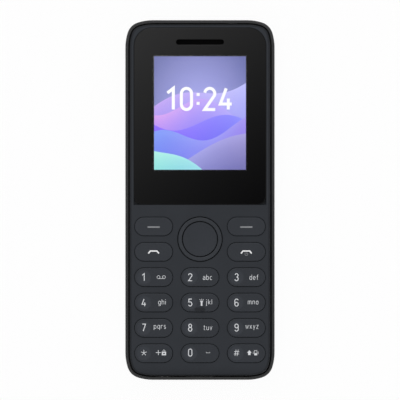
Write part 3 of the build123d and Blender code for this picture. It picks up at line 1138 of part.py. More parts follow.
# Headphone socket: its body on the board, and a round nose through the bottom wall
with BuildPart() as audio_jack:
    body_y = BOTTOM_WALL_Y + JACK_SHOULDER_GAP
    body_length = JACK_MOUTH_Y + JACK_LENGTH - body_y
    jack_body = rectangle(BOARD_Z - JACK_HEIGHT, (-JACK_X, body_y + body_length / 2), JACK_WIDTH, body_length)
    extrude(jack_body, amount=JACK_HEIGHT)
    with BuildSketch(Plane.XZ.offset(-body_y)):
        with Locations((-JACK_X, JACK_Z)):
            Circle(JACK_NOSE_RADIUS)
    extrude(amount=body_y - JACK_MOUTH_Y)
    with BuildSketch(Plane.XZ.offset(-JACK_MOUTH_Y)):
        with Locations((-JACK_X, JACK_Z)):
            Circle(JACK_BORE_RADIUS)
    extrude(amount=-JACK_BORE_LENGTH, mode=Mode.SUBTRACT)
audio_jack.part.label = "audio_jack"
export_step(audio_jack.part, "parts/audio_jack.step")

# Charging socket: a drawn shell with a contact tongue in it
with BuildPart() as usb_socket:
    usb_mouth_y = -OUTER_WALL_Y + USB_SETBACK
    with BuildSketch(Plane.XZ.offset(-usb_mouth_y)):
        with Locations((0, USB_Z)):
            SlotOverall(USB_WIDTH, USB_HEIGHT)
    extrude(amount=-USB_DEPTH)
    with BuildSketch(Plane.XZ.offset(-usb_mouth_y)):
        with Locations((0, USB_Z)):
            SlotOverall(USB_WIDTH - 2 * USB_WALL, USB_HEIGHT - 2 * USB_WALL)
    extrude(amount=USB_BACK - USB_DEPTH, mode=Mode.SUBTRACT)
usb_socket.part.label = "usb_socket"
export_step(usb_socket.part, "parts/usb_socket.step")

with BuildPart() as usb_tongue:
    with BuildSketch(Plane.XZ.offset(USB_BACK - USB_DEPTH - usb_mouth_y)):
        with Locations((0, USB_Z)):
            Rectangle(USB_TONGUE_WIDTH, USB_TONGUE_HEIGHT)
    extrude(amount=USB_TONGUE_LENGTH)
usb_tongue.part.label = "usb_tongue"
export_step(usb_tongue.part, "parts/usb_tongue.step")

# Microphone and the rubber boot that joins it to its port
with BuildPart() as microphone:
    mic_front_y = BOTTOM_WALL_Y + MIC_FROM_WALL
    can = rectangle(BOARD_Z - MIC_HEIGHT, (MIC_X, mic_front_y + MIC_DEPTH / 2), MIC_WIDTH, MIC_DEPTH)
    extrude(can, amount=MIC_HEIGHT)
microphone.part.label = "microphone"
export_step(microphone.part, "parts/microphone.step")

with BuildPart() as mic_boot:
    with BuildSketch(Plane.XZ.offset(-mic_front_y)):
        with Locations((MIC_X, MIC_Z)):
            Circle(BOOT_RADIUS)
            Circle(MIC_PORT_RADIUS, mode=Mode.SUBTRACT)
    extrude(amount=MIC_FROM_WALL)
mic_boot.part.label = "mic_boot"
export_step(mic_boot.part, "parts/mic_boot.step")

# Vibration motor, and the half-round weight that its shaft spins
with BuildPart() as vibration_motor:
    with BuildSketch(Plane.YZ.offset(MOTOR_END_X)):
        with Locations((MOTOR_Y, MOTOR_Z)):
            Circle(MOTOR_RADIUS)
    extrude(amount=-MOTOR_LENGTH)
    with BuildSketch(Plane.YZ.offset(MOTOR_END_X)):
        with Locations((MOTOR_Y, MOTOR_Z)):
            Circle(MOTOR_NOSE_RADIUS)
    extrude(amount=MOTOR_NOSE_LENGTH)
    with BuildSketch(Plane.YZ.offset(MOTOR_END_X + MOTOR_NOSE_LENGTH)):
        with Locations((MOTOR_Y, MOTOR_Z)):
            Circle(SHAFT_RADIUS + SHAFT_GAP)
    extrude(amount=-MOTOR_NOSE_LENGTH - SHAFT_DEPTH, mode=Mode.SUBTRACT)
vibration_motor.part.label = "vibration_motor"
export_step(vibration_motor.part, "parts/vibration_motor.step")

with BuildPart() as vibration_weight:
    with BuildSketch(Plane.YZ.offset(WEIGHT_X)):
        with Locations((MOTOR_Y, MOTOR_Z)):
            Circle(WEIGHT_RADIUS)
            Rectangle(2 * WEIGHT_RADIUS, WEIGHT_RADIUS, align=(Align.CENTER, Align.MIN), mode=Mode.SUBTRACT)
            Circle(HUB_RADIUS)
    extrude(amount=WEIGHT_LENGTH)
    with BuildSketch(Plane.YZ.offset(WEIGHT_X)):
        with Locations((MOTOR_Y, MOTOR_Z)):
            Circle(SHAFT_RADIUS)
    extrude(amount=-WEIGHT_GAP - MOTOR_NOSE_LENGTH - SHAFT_DEPTH + SHAFT_GAP)
vibration_weight.part.label = "vibration_weight"
export_step(vibration_weight.part, "parts/vibration_weight.step")

# Housing screws, driven from the back
with BuildPart() as housing_screws:
    heads = circles(SCREW_SEAT_Z - SCREW_HEAD_HEIGHT, BOSS_PLACES, SCREW_HEAD_RADIUS)
    extrude(heads, amount=SCREW_HEAD_HEIGHT)
    extrude(circles(SCREW_SEAT_Z, BOSS_PLACES, SCREW_RADIUS), amount=BOSS_Z + SCREW_BITE - SCREW_SEAT_Z)
    with BuildSketch(Plane.XY.offset(SCREW_SEAT_Z - SCREW_HEAD_HEIGHT)):
        with Locations(*BOSS_PLACES):
            RegularPolygon(SCREW_DRIVE_RADIUS, 6)
    extrude(amount=SCREW_DRIVE_DEPTH, mode=Mode.SUBTRACT)
housing_screws.part.label = "housing_screws"
export_step(housing_screws.part, "parts/housing_screws.step")
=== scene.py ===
"""Looks of the feature phone: finishes, printed legends, the lit screen, the lens, light and camera."""
import json
import math

import bmesh
import bpy
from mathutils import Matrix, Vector
from mathutils.geometry import delaunay_2d_cdt


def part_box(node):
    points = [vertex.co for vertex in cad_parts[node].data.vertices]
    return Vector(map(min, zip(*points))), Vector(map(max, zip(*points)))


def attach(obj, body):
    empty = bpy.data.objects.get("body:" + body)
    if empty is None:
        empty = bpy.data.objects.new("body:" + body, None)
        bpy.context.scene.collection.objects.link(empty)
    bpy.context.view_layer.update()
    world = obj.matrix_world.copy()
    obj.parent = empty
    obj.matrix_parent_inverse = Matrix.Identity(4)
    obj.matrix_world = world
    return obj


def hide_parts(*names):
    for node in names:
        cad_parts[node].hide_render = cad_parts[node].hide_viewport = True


MM = 0.001

# Overall view: the width that the photograph shows, and the camera's lens and sensor in millimetres
PHOTO_WIDTH = 124.87 * MM
CAMERA_LENS = 400
CAMERA_SENSOR = 36

# Lens over the display, and the lit picture under it
DISPLAY_WIDTH = 28.62 * MM
DISPLAY_HEIGHT = 35.37 * MM
DISPLAY_TOP_Y = 44.815 * MM
WINDOW_MARGIN = 0.32 * MM
LENS_TOP_RADIUS = 5.6 * MM
LENS_BOTTOM_RADIUS = 2.7 * MM
LENS_EDGE_ROUND = 0.15 * MM
SLOT_WIDTH = 14.83 * MM
SLOT_HEIGHT = 1.58 * MM
SLOT_RADIUS = 0.78 * MM
SLOT_FROM_TOP = 4.52 * MM

# Camera window in the back
CAMERA_CLEAR_RADIUS = 1.9 * MM
CAMERA_EDGE_ROUND = 0.12 * MM

# Printed legends: the space between letters is a share of their height
PRINT_HEIGHT = 0.012 * MM
PRINT_DEPTH = 0.02 * MM
DIGIT_X = -3.05 * MM
DIGIT_SIZE = 2.2 * MM
DIGIT_LINE = 0.26 * MM
SIGN_LINE = 0.17 * MM
WORD_RIGHT_X = 3.72 * MM
WORD_SIZE = 1.06 * MM
WORD_LINE = 0.14 * MM
WORD_SPACE = 0.42
# How much higher than the middle of its cap a key's print sits
LEGEND_RISE = {
    "key_7": 0.1 * MM, "key_8": 0.1 * MM, "key_9": 0.1 * MM,
    "key_star": 0.22 * MM, "key_0": 0.22 * MM, "key_hash": 0.15 * MM,
}

# Keycaps
KEY_COLOUR = (0.0242, 0.0272, 0.033)
DISHED_KEYS = [f"key_{sign}" for sign in "1 2 3 4 5 6 7 8 9 star 0 hash".split()]
# A painted highlight lightens each digit's dish by a factor: fully within a share of this radius, fading out
# to its edge
DISH_RADIUS = 2.35 * MM
DISH_MIDDLE_SHARE = 0.8
DISH_HIGHLIGHT = 1.25
# One key's bar gets painted shade: darker by a factor above this depth below the cap's top, fading in over
# this edge
BARRED_KEY = "key_5"
BAR_RISE = 0.24 * MM
BAR_EDGE = 0.05 * MM
BAR_SHADE = 0.55

# Lit screen
ART_THICKNESS = 0.01 * MM
# A wave deepens in colour over this share of the screen, by this power of the way down
SILK_DEPTH = 0.36
SILK_FALL = 0.7
# Colours of the ground in the middle and at the corners, and the shares of the width where it turns
DUSK_COLOURS = ((156, 158, 226), (98, 104, 168))
DUSK_SHARES = (0.2, 0.66)
CLOCK_SIZE = 6.6 * MM
CLOCK_LINE = 0.95 * MM
CLOCK_SPACE = 0.26
CLOCK_Y = 4.4 * MM

# Finishes: how much colour and polish drift and over what size, and how deep the relief is
MOULDED_MOTTLE = 0.035
MOULDED_MOTTLE_SIZE = 9 * MM
MOULDED_POLISH = 0.025
MOULDED_POLISH_SIZE = 4 * MM
ROLLING_SIZE = 5 * MM
ROLLING_DARKER = 0.8
ROLLING_DEPTH = 0.0015 * MM
ROLLING_POLISH = (-0.06, 0.08)
RUBBER_MOTTLE = 0.1
RUBBER_MOTTLE_SIZE = 2 * MM
PORE_DEPTH = 0.02 * MM
THREAD_DARKER = 0.3
THREAD_DEPTH = 0.03 * MM
SMEAR_SIZE = 3 * MM
# Period of a wave texture whose scale is 1
WAVE_PERIOD = 0.314
# Stretch of a texture along X, Y and Z
EVEN = (1, 1, 1)
ROLLED = (1, 40, 40)
# Surfaces that several finishes share
SATIN = {"roughness": 0.44, "grain": 0.12 * MM, "depth": 0.004 * MM, "specular": 0.16}
INK = {"roughness": 0.45, "grain": 0.3 * MM, "depth": 0.002 * MM}

# Drawing
CORNER_STEPS = 8
EDGE_TURNS = (0, 30, 60, 90)
MIN_RADIUS = MM / 20
WELD_DISTANCE = MM / 10000
SAME_POINT_SHARE = 0.01
MITRE_LIMIT = 0.4
# The triangulation's kind of output that keeps the inner triangles, and how close its points may be
INNER_TRIANGLES = 1
NEAREST = 1e-5

# Circuit board
MASK_COLOUR = (0.006, 0.075, 0.035)
TRACE_COLOUR = (0.012, 0.13, 0.06)
PLATED_COLOUR = (0.7, 0.5, 0.2)
TRACE_PITCH = 1.3 * MM
TRACE_WIDTH_SHARE = 0.12
TRACE_STAGGER_SHARE = 0.37
TRACE_DEPTH = 0.03 * MM
HOLE_PITCH = 2.4 * MM
HOLE_RADIUS_SHARE = 0.1
HOLE_EDGE_SHARE = 0.14

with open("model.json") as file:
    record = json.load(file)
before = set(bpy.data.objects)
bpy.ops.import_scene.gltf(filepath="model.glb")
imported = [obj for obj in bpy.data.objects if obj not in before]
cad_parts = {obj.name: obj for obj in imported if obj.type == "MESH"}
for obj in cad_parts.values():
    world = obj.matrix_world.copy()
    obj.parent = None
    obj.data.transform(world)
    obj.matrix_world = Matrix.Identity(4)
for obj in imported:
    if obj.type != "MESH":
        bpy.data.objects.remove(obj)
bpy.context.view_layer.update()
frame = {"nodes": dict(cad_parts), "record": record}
nodes = frame["nodes"]
slot_of = {part["node"]: part["material_slot"] for part in frame["record"]["subparts"]}


class Nodes:
    """A node tree, with short ways to add nodes and links."""

    def __init__(self, tree):
        self.tree = tree

    def add(self, kind, **settings):
        """A node, with its properties and its unlinked inputs set by name."""
        node = self.tree.nodes.new(kind)
        for key, value in settings.items():
            if hasattr(node, key):
                setattr(node, key, value)
            else:
                node.inputs[key.replace("_", " ").title()].default_value = value
        return node

    def link(self, output, target):
        """A link from an output to an input."""
        self.tree.links.new(output, target)

    def axes(self, vector):
        """The X, Y and Z of a vector."""
        split = self.add("ShaderNodeSeparateXYZ")
        self.link(vector, split.inputs[0])
        return split.outputs

    def calculate(self, operation, first, second):
        """One operation on an output and a number, or on two outputs."""
        node = self.add("ShaderNodeMath", operation=operation)
        self.link(first, node.inputs[0])
        if isinstance(second, float):
            node.inputs[1].default_value = second
        else:
            self.link(second, node.inputs[1])
        return node.outputs[0]

    def measure(self, operation, vector, fixed):
        """The distance or the dot product of a vector and a fixed one."""
        node = self.add("ShaderNodeVectorMath", operation=operation)
        self.link(vector, node.inputs[0])
        node.inputs[1].default_value = fixed
        return node.outputs["Value"]

    def any_of(self, flag, *others):
        """1 where any of some flags is 1."""
        for other in others:
            flag = self.calculate("MAXIMUM", flag, other)
        return flag

    def seen(self, ray):
        """1 for camera, glossy and transmission rays, which show what they meet, and 0 for all others."""
        return self.any_of(*(ray.outputs[f"Is {kind} Ray"] for kind in ("Camera", "Glossy", "Transmission")))

    def mix_shaders(self, factor, first, second):
        """Two shaders blended by a factor."""
        node = self.add("ShaderNodeMixShader")
        for output, target in zip((factor, first, second), node.inputs):
            self.link(output, target)
        return node.outputs[0]


class Finish(Nodes):
    """A node material: a Principled shader and the nodes that drive its sockets."""

    def __init__(self, name, colour, roughness, sockets=None):
        self.material = bpy.data.materials.new(name)
        self.material.use_nodes = True
        super().__init__(self.material.node_tree)
        self.shader = self.tree.nodes["Principled BSDF"]
        self.colour = colour
        for socket, value in {"Base Color": (*colour, 1), "Roughness": roughness, **(sockets or {})}.items():
            self.shader.inputs[socket].default_value = value

    def drive(self, socket, output):
        """A socket of the shader that varies over the surface."""
        self.link(output, self.shader.inputs[socket])

    def paint(self):
        """The output that drives the colour so far."""
        return self.shader.inputs["Base Color"].links[0].from_socket

    def show(self, output):
        """Another shader for the surface."""
        self.link(output, self.tree.nodes["Material Output"].inputs["Surface"])

    def place(self, stretch=EVEN):
        """Coordinates on the object, in metres, stretched along the axes."""
        source = self.add("ShaderNodeTexCoord")
        mapping = self.add("ShaderNodeMapping")
        mapping.inputs["Scale"].default_value = stretch
        self.link(source.outputs["Object"], mapping.inputs["Vector"])
        return mapping.outputs["Vector"]

    def noise(self, size, detail=2, stretch=EVEN):
        """Noise between 0 and 1 with patches of that size."""
        texture = self.add("ShaderNodeTexNoise", scale=1 / size, detail=detail)
        self.link(self.place(stretch), texture.inputs["Vector"])
        return texture.outputs["Fac"]

    def spread(self, value, low, high, start=0.3, end=0.7):
        """The value from start to end, which is what most noise fills, taken to low to high."""
        node = self.add("ShaderNodeMapRange")
        for socket, number in (("From Min", start), ("From Max", end), ("To Min", low), ("To Max", high)):
            node.inputs[socket].default_value = number
        self.link(value, node.inputs["Value"])
        return node.outputs["Result"]

    def mix(self, factor, first, second):
        """Two colours blended by a factor."""
        node = self.add("ShaderNodeMix", data_type="RGBA")
        sockets = [socket for socket in node.inputs if socket.type == "RGBA"]
        self.link(factor, node.inputs[0])
        for socket, colour in zip(sockets, (first, second)):
            if isinstance(colour, tuple):
                socket.default_value = (*colour, 1)
            else:
                self.link(colour, socket)
        return [socket for socket in node.outputs if socket.type == "RGBA"][0]

    def mottle(self, amount, size):
        """Colour that drifts lighter and darker over patches of that size."""
        dark, light = shade(self.colour, 1 - amount), shade(self.colour, 1 + amount)
        self.drive("Base Color", self.mix(self.spread(self.noise(size), 0, 1), dark, light))

    def polish(self, low, high, size, stretch=EVEN):
        """Roughness that drifts between two values."""
        self.drive("Roughness", self.spread(self.noise(size, detail=3, stretch=stretch), low, high))

    def relief(self, height, depth):
        """Small relief of that depth from a height between 0 and 1."""
        bump = self.add("ShaderNodeBump", distance=depth, strength=1.0)
        self.link(height, bump.inputs["Height"])
        self.drive("Normal", bump.outputs["Normal"])

    def paint_slope_shade(self, darkest, steep, level):
        """Painted shade: colour that darkens as the surface turns from level to steep, by the upward part of
        its normal.
        """
        upward = self.axes(self.add("ShaderNodeNewGeometry").outputs["Normal"])[2]
        flatness = self.spread(upward, 0, 1, steep, level)
        self.drive("Base Color", self.mix(flatness, shade(self.colour, darkest), self.paint()))


def shade(colour, factor):
    """A colour made darker or lighter by a factor."""
    return tuple(channel * factor for channel in colour)


def moulded(name, colour, roughness, grain, depth, specular=0.5):
    """Moulded plastic with the fine grain of a spark-eroded tool."""
    finish = Finish(name, colour, roughness, {"Specular IOR Level": specular})
    finish.mottle(MOULDED_MOTTLE, MOULDED_MOTTLE_SIZE)
    finish.polish(roughness - MOULDED_POLISH, roughness + MOULDED_POLISH, MOULDED_POLISH_SIZE)
    finish.relief(finish.noise(grain, detail=3), depth)
    return finish


def keycap(name, dish_centre=None, bar_height=None):
    """Satin keycap: its dish has a painted highlight round the digit, and its bar has painted shade."""
    finish = moulded(name, KEY_COLOUR, **SATIN)
    paint = finish.paint()
    # Painted highlight: the dish round the digit is lighter
    if dish_centre:
        away = finish.measure("DISTANCE", finish.place((1, 1, 0)), (*dish_centre, 0))
        dish_highlight = finish.spread(away, 1, 0, DISH_RADIUS * DISH_MIDDLE_SHARE, DISH_RADIUS)
        paint = finish.mix(dish_highlight, paint, shade(KEY_COLOUR, DISH_HIGHLIGHT))
    # Painted shade over the bar
    if bar_height:
        bar_shade_mask = finish.spread(finish.axes(finish.place())[2], 0, 1, bar_height, bar_height + BAR_EDGE)
        paint = finish.mix(bar_shade_mask, paint, shade(KEY_COLOUR, BAR_SHADE))
    finish.drive("Base Color", paint)
    return finish


def metal(name, colour, roughness, stretch=EVEN):
    """Metal with fine rolling lines along the axis that is stretched least."""
    finish = Finish(name, colour, roughness, {"Metallic": 1.0})
    lines = finish.noise(ROLLING_SIZE, detail=4, stretch=stretch)
    finish.drive("Base Color", finish.mix(finish.spread(lines, 0, 1), shade(colour, ROLLING_DARKER), colour))
    smoother, rougher = ROLLING_POLISH
    finish.polish(roughness + smoother, roughness + rougher, SMEAR_SIZE, stretch)
    finish.relief(lines, ROLLING_DEPTH)
    return finish


def rubbery(name, colour, roughness, grain):
    """Silicone, foam or tape: dull, with soft pores."""
    finish = Finish(name, colour, roughness, {"Specular IOR Level": 0.3})
    finish.mottle(RUBBER_MOTTLE, RUBBER_MOTTLE_SIZE)
    finish.relief(finish.noise(grain), PORE_DEPTH)
    return finish


def woven(name, colour, pitch):
    """Acoustic cloth: two sets of threads across each other."""
    finish = Finish(name, colour, 0.9, {"Specular IOR Level": 0.05})
    threads = []
    for direction in ("X", "Y"):
        wave = finish.add("ShaderNodeTexWave", wave_type="BANDS", bands_direction=direction,
                          scale=WAVE_PERIOD / pitch)
        finish.link(finish.place(), wave.inputs["Vector"])
        threads.append(wave.outputs["Fac"])
    weave = finish.calculate("MULTIPLY", *threads)
    finish.drive("Base Color", finish.mix(weave, shade(colour, THREAD_DARKER), colour))
    finish.relief(weave, THREAD_DEPTH)
    return finish


def clear(name, tint, refraction, roughness=0.02):
    """Clear moulding."""
    finish = Finish(name, tint, roughness, {"Transmission Weight": 1.0, "IOR": refraction})
    finish.polish(low=roughness, high=roughness + 0.03, size=SMEAR_SIZE)
    return finish


def thin_clear(name, tint, opacity):
    """Thin clear plate that shows what is behind it, lit as well."""
    finish = Finish(name, tint, 0.06, {"Alpha": opacity})
    finish.polish(low=0.04, high=0.1, size=SMEAR_SIZE)
    return finish


def coated_glass(name):
    """Front glass of a camera, with a painted violet to green sheen standing in for its coating's
    reflections.
    """
    finish = Finish(name, (0.003, 0.003, 0.012), 0.05, {"IOR": 1.6})
    violet, green = (0.014, 0.004, 0.05), (0.002, 0.018, 0.02)
    # Painted sheen of the coating
    sheen = finish.spread(finish.noise(2.2 * MM, detail=0), 0, 1)
    finish.drive("Base Color", finish.mix(sheen, violet, green))
    return finish


def circuit_board():
    """Solder mask over copper traces, with plated holes."""
    finish = Finish("board", MASK_COLOUR, 0.35, {"IOR": 1.5})
    trace = finish.add("ShaderNodeTexBrick", offset=TRACE_STAGGER_SHARE, scale=1 / TRACE_PITCH,
                       mortar_size=TRACE_WIDTH_SHARE)
    finish.link(finish.place(), trace.inputs["Vector"])
    under = finish.mix(trace.outputs["Fac"], MASK_COLOUR, TRACE_COLOUR)
    holes = finish.add("ShaderNodeTexVoronoi", scale=1 / HOLE_PITCH)
    finish.link(finish.place(), holes.inputs["Vector"])
    plated = finish.spread(holes.outputs["Distance"], 1, 0, HOLE_RADIUS_SHARE, HOLE_EDGE_SHARE)
    finish.drive("Base Color", finish.mix(plated, under, PLATED_COLOUR))
    finish.drive("Metallic", plated)
    finish.relief(trace.outputs["Fac"], TRACE_DEPTH)
    return finish


def gloss_black(name, colour, refraction, roughness):
    """Black print behind a clear hard-coated plate."""
    finish = Finish(name, colour, roughness, {"IOR": refraction})
    finish.mottle(amount=0.08, size=12 * MM)
    return finish


def lit(name, colour):
    """A part of the screen that shines in one colour."""
    shine = {"Emission Color": (*colour, 1), "Emission Strength": 1.0}
    return Finish(name, (0.002, 0.002, 0.003), 0.3, shine)


def srgb(red, green, blue):
    """A screen colour of 0 to 255 as linear light."""
    return tuple(
        value / 255 / 12.92 if value / 255 <= 0.04045 else ((value / 255 + 0.055) / 1.055) ** 2.4
        for value in (red, green, blue)
    )


# Moulded ones say their roughness, the size and depth of their grain, and how much they reflect
FINISHES = {
    "housing": moulded("housing", (0.029, 0.0317, 0.0367), 0.62, 0.14 * MM, 0.006 * MM, 0.02),
    "chassis": moulded("chassis", (0.0035, 0.0035, 0.004), 0.6, 0.2 * MM, 0.01 * MM, 0.2),
    "cover": moulded("cover", (0.0355, 0.036, 0.037), 0.5, 0.18 * MM, 0.012 * MM, 0.18),
    "keycap": keycap("keycap"),
    "ring": moulded("ring", (0.0265, 0.0295, 0.0352), **SATIN),
    "black_plastic": moulded("black_plastic", (0.01, 0.01, 0.011), 0.45, 0.15 * MM, 0.008 * MM),
    "lamp": moulded("lamp", (0.75, 0.72, 0.55), 0.3, 0.3 * MM, 0.005 * MM),
    "wrap": moulded("wrap", (0.03, 0.033, 0.04), 0.36, 0.5 * MM, 0.004 * MM, 0.3),
    "film": moulded("film", (0.6, 0.6, 0.57), 0.25, 0.5 * MM, 0.005 * MM),
    "flex": moulded("flex", (0.4, 0.16, 0.03), 0.3, 0.4 * MM, 0.006 * MM),
    "tape": rubbery("tape", (0.015, 0.015, 0.016), 0.7, 0.3 * MM),
    "silicone": rubbery("silicone", (0.22, 0.22, 0.23), 0.55, 0.4 * MM),
    "foam": rubbery("foam", (0.02, 0.02, 0.021), 0.9, 0.25 * MM),
    "steel": metal("steel", (0.36, 0.365, 0.375), 0.3, ROLLED),
    "gold": metal("gold", (0.72, 0.5, 0.18), 0.22, ROLLED),
    "weight": metal("weight", (0.3, 0.29, 0.28), 0.5),
    "screw": metal("screw", (0.05, 0.05, 0.052), 0.35),
    "mesh": woven("mesh", (0.002, 0.002, 0.0022), 0.22 * MM),
    "board": circuit_board(),
    "display": gloss_black("display", (0.004, 0.004, 0.022), 1.45, 0.15),
    "lens": gloss_black("lens", (0.001, 0.001, 0.0012), 1.3, 0.12),
    "window": gloss_black("window", (0.001, 0.001, 0.0014), 1.3, 0.05),
    "clear": clear("clear", (0.95, 0.97, 1.0), 1.45, 0.25),
}
# Painted shade on the housing's slopes and rounded edges
FINISHES["housing"].paint_slope_shade(darkest=0.68, steep=0.84, level=1.0)
LENS_CLEAR = clear("lens_clear", (1.0, 1.0, 1.0), refraction=1.3)
WINDOW_CLEAR = thin_clear("window_clear", (0.02, 0.02, 0.024), opacity=0.12)
CAMERA_GLASS = coated_glass("camera_front_glass")


def centre_of(node):
    """The middle of a node's box."""
    low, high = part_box(node)
    return (Vector(low) + Vector(high)) / 2


# Finishes of the solids
for node, finish_slot in slot_of.items():
    finish = FINISHES[finish_slot]
    if node in DISHED_KEYS:
        middle = centre_of(node)
        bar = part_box(node)[1][2] - BAR_RISE if node == BARRED_KEY else None
        finish = keycap(f"{node}_cap", (middle.x + DIGIT_X, middle.y), bar)
    if node == "camera_lens":
        finish = CAMERA_GLASS
    nodes[node].data.materials.clear()
    nodes[node].data.materials.append(finish.material)


def arc(centre, radii, start, end, steps=10):
    """Points on an ellipse's arc between two angles in degrees."""
    points = []
    for step in range(steps + 1):
        angle = math.radians(start + (end - start) * step / steps)
        points.append((centre[0] + radii[0] * math.cos(angle), centre[1] + radii[1] * math.sin(angle)))
    return points


def loop(centre, radii, steps=20):
    """A closed ellipse: its last point is its first."""
    return arc(centre, radii, 0, 360, steps)


def circle(centre, radius, steps=48):
    """An open ring of points, without the first one again at its end."""
    return arc(centre, (radius, radius), 0, 360 - 360 / steps, steps - 1)


def rounded(width, height, top_radius, bottom_radius, centre=(0, 0), inset=0):
    """Outline of a rectangle with one radius for its upper and one for its lower corners, less an inset."""
    width, height = width - 2 * inset, height - 2 * inset
    top_radius, bottom_radius = max(top_radius - inset, MIN_RADIUS), max(bottom_radius - inset, MIN_RADIUS)
    points = []
    for side_x, side_y, start in ((1, 1, 0), (-1, 1, 90), (-1, -1, 180), (1, -1, 270)):
        radius = top_radius if side_y > 0 else bottom_radius
        corner = (centre[0] + side_x * (width / 2 - radius), centre[1] + side_y * (height / 2 - radius))
        points += arc(corner, (radius, radius), start, start + 90, CORNER_STEPS)
    return points


def block(west, south, east, north):
    """Corners of an upright rectangle."""
    return [(west, south), (east, south), (east, north), (west, north)]


def closed(points):
    """A line that ends where it starts."""
    return points + points[:1]


def ribbon(points, width):
    """Quads along a line of that width, mitred at its corners."""
    same = width * SAME_POINT_SHARE
    is_closed = math.dist(points[0], points[-1]) < same
    line = [Vector(points[0])]
    for point in points[1:-1] if is_closed else points[1:]:
        if math.dist(point, line[-1]) > same:
            line.append(Vector(point))
    sides = []
    for index, point in enumerate(line):
        before = line[index - 1] if is_closed or index else None
        after = line[(index + 1) % len(line)] if is_closed or index < len(line) - 1 else None
        arriving = (point - before).normalized() if before is not None else (after - point).normalized()
        leaving = (after - point).normalized() if after is not None else arriving
        across = Vector((-arriving.y - leaving.y, arriving.x + leaving.x)).normalized()
        reach = width / 2 / max(across.dot(Vector((-arriving.y, arriving.x))), MITRE_LIMIT)
        sides.append((point + across * reach, point - across * reach))
    quads = []
    for index in range(len(line) if is_closed else len(line) - 1):
        (left, right), (next_left, next_right) = sides[index], sides[(index + 1) % len(line)]
        quads.append([right, next_right, next_left, left])
    return quads


def tessellate(polygons):
    """Flat triangles over the union of some polygons, each with the set of polygons it lies in."""
    origin_x, origin_y = polygons[0][0]
    points, faces = [], []
    for polygon in polygons:
        faces.append(list(range(len(points), len(points) + len(polygon))))
        points += [Vector(((x - origin_x) / MM, (y - origin_y) / MM)) for x, y in polygon]
    out = delaunay_2d_cdt(points, [], faces, INNER_TRIANGLES, NEAREST)
    placed = [(x * MM + origin_x, y * MM + origin_y) for x, y in out[0]]
    triangles = [(face, set(owners)) for face, owners in zip(out[2], out[5]) if owners]
    return placed, triangles


def add_object(name, data):
    """An object of the scene with that data."""
    made = bpy.data.objects.new(name, data)
    bpy.context.scene.collection.objects.link(made)
    return made


def mesh_object(name, build, finishes):
    """An object from a finished bmesh, with a material slot for each finish."""
    mesh = bpy.data.meshes.new(name)
    build.to_mesh(mesh)
    build.free()
    for finish in finishes:
        mesh.materials.append(finish.material)
    return add_object(name, mesh)


def solid(name, points, faces, top, bottom, finish):
    """A closed thin solid over flat faces, between two heights given by functions of the place."""
    count = len(points)
    vertices = [(x, y, top(x, y)) for x, y in points] + [(x, y, bottom(x, y)) for x, y in points]
    covers = [side for face in faces for side in (face, [corner + count for corner in reversed(face)])]
    edges = dict.fromkeys(edge for face in faces for edge in zip(face, closed(face)[1:]))
    walls = [[end, start, start + count, end + count] for start, end in edges if (end, start) not in edges]
    mesh = bpy.data.meshes.new(name)
    mesh.from_pydata(vertices, [], covers + walls)
    mesh.materials.append(finish.material)
    mesh.validate()
    return add_object(name, mesh)


def thin_print(name, polygons, top, bottom, finish):
    """A closed thin solid over the union of some polygons."""
    points, triangles = tessellate(polygons)
    return solid(name, points, [face for face, _ in triangles], top, bottom, finish)


def plate(name, outline, holes, window, low, high, printed, see_through, edge):
    """A clear plate with rounded edges that is printed from behind, except over its window.

    outline and holes are functions that give the points for an inset, and a hole's inset is less than zero.
    """
    turns = [math.radians(turn) for turn in EDGE_TURNS]
    levels = [(0, low)]
    levels += [(edge * (1 - math.cos(turn)), high - edge * (1 - math.sin(turn))) for turn in turns]
    build = bmesh.new()

    def cover(inset, level, upward):
        """A flat face: its rims are the outline, the window and then the holes."""
        rims = [outline(inset), window] + [hole(-inset) for hole in holes]
        points, triangles = tessellate(rims)
        corners = [build.verts.new((x, y, level)) for x, y in points]
        for face, owners in triangles:
            if not any(number in owners for number in range(2, len(rims))):
                order = face if upward else face[::-1]
                build.faces.new([corners[index] for index in order]).material_index = int(1 in owners)

    def wall(rim, sign):
        """The side along a rim, with its rounded upper edge."""
        rows = [[build.verts.new((x, y, level)) for x, y in rim(sign * inset)] for inset, level in levels]
        for lower, upper in zip(rows, rows[1:]):
            for index in range(len(lower)):
                following = (index + 1) % len(lower)
                face = [lower[index], lower[following], upper[following], upper[index]]
                build.faces.new(face if sign > 0 else face[::-1]).smooth = lower is not rows[0]

    cover(0, low, False)
    cover(edge, high, True)
    wall(outline, 1)
    for hole in holes:
        wall(hole, -1)
    bmesh.ops.remove_doubles(build, verts=build.verts, dist=WELD_DISTANCE)
    return mesh_object(name, build, [printed, see_through])


def surface_height(node, x, y):
    """Height of a node's upper surface at a place, found by a ray from above."""
    reached, place, *_ = nodes[node].ray_cast(Vector((x, y, 1)), Vector((0, 0, -1)))
    return place.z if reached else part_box(node)[1][2]


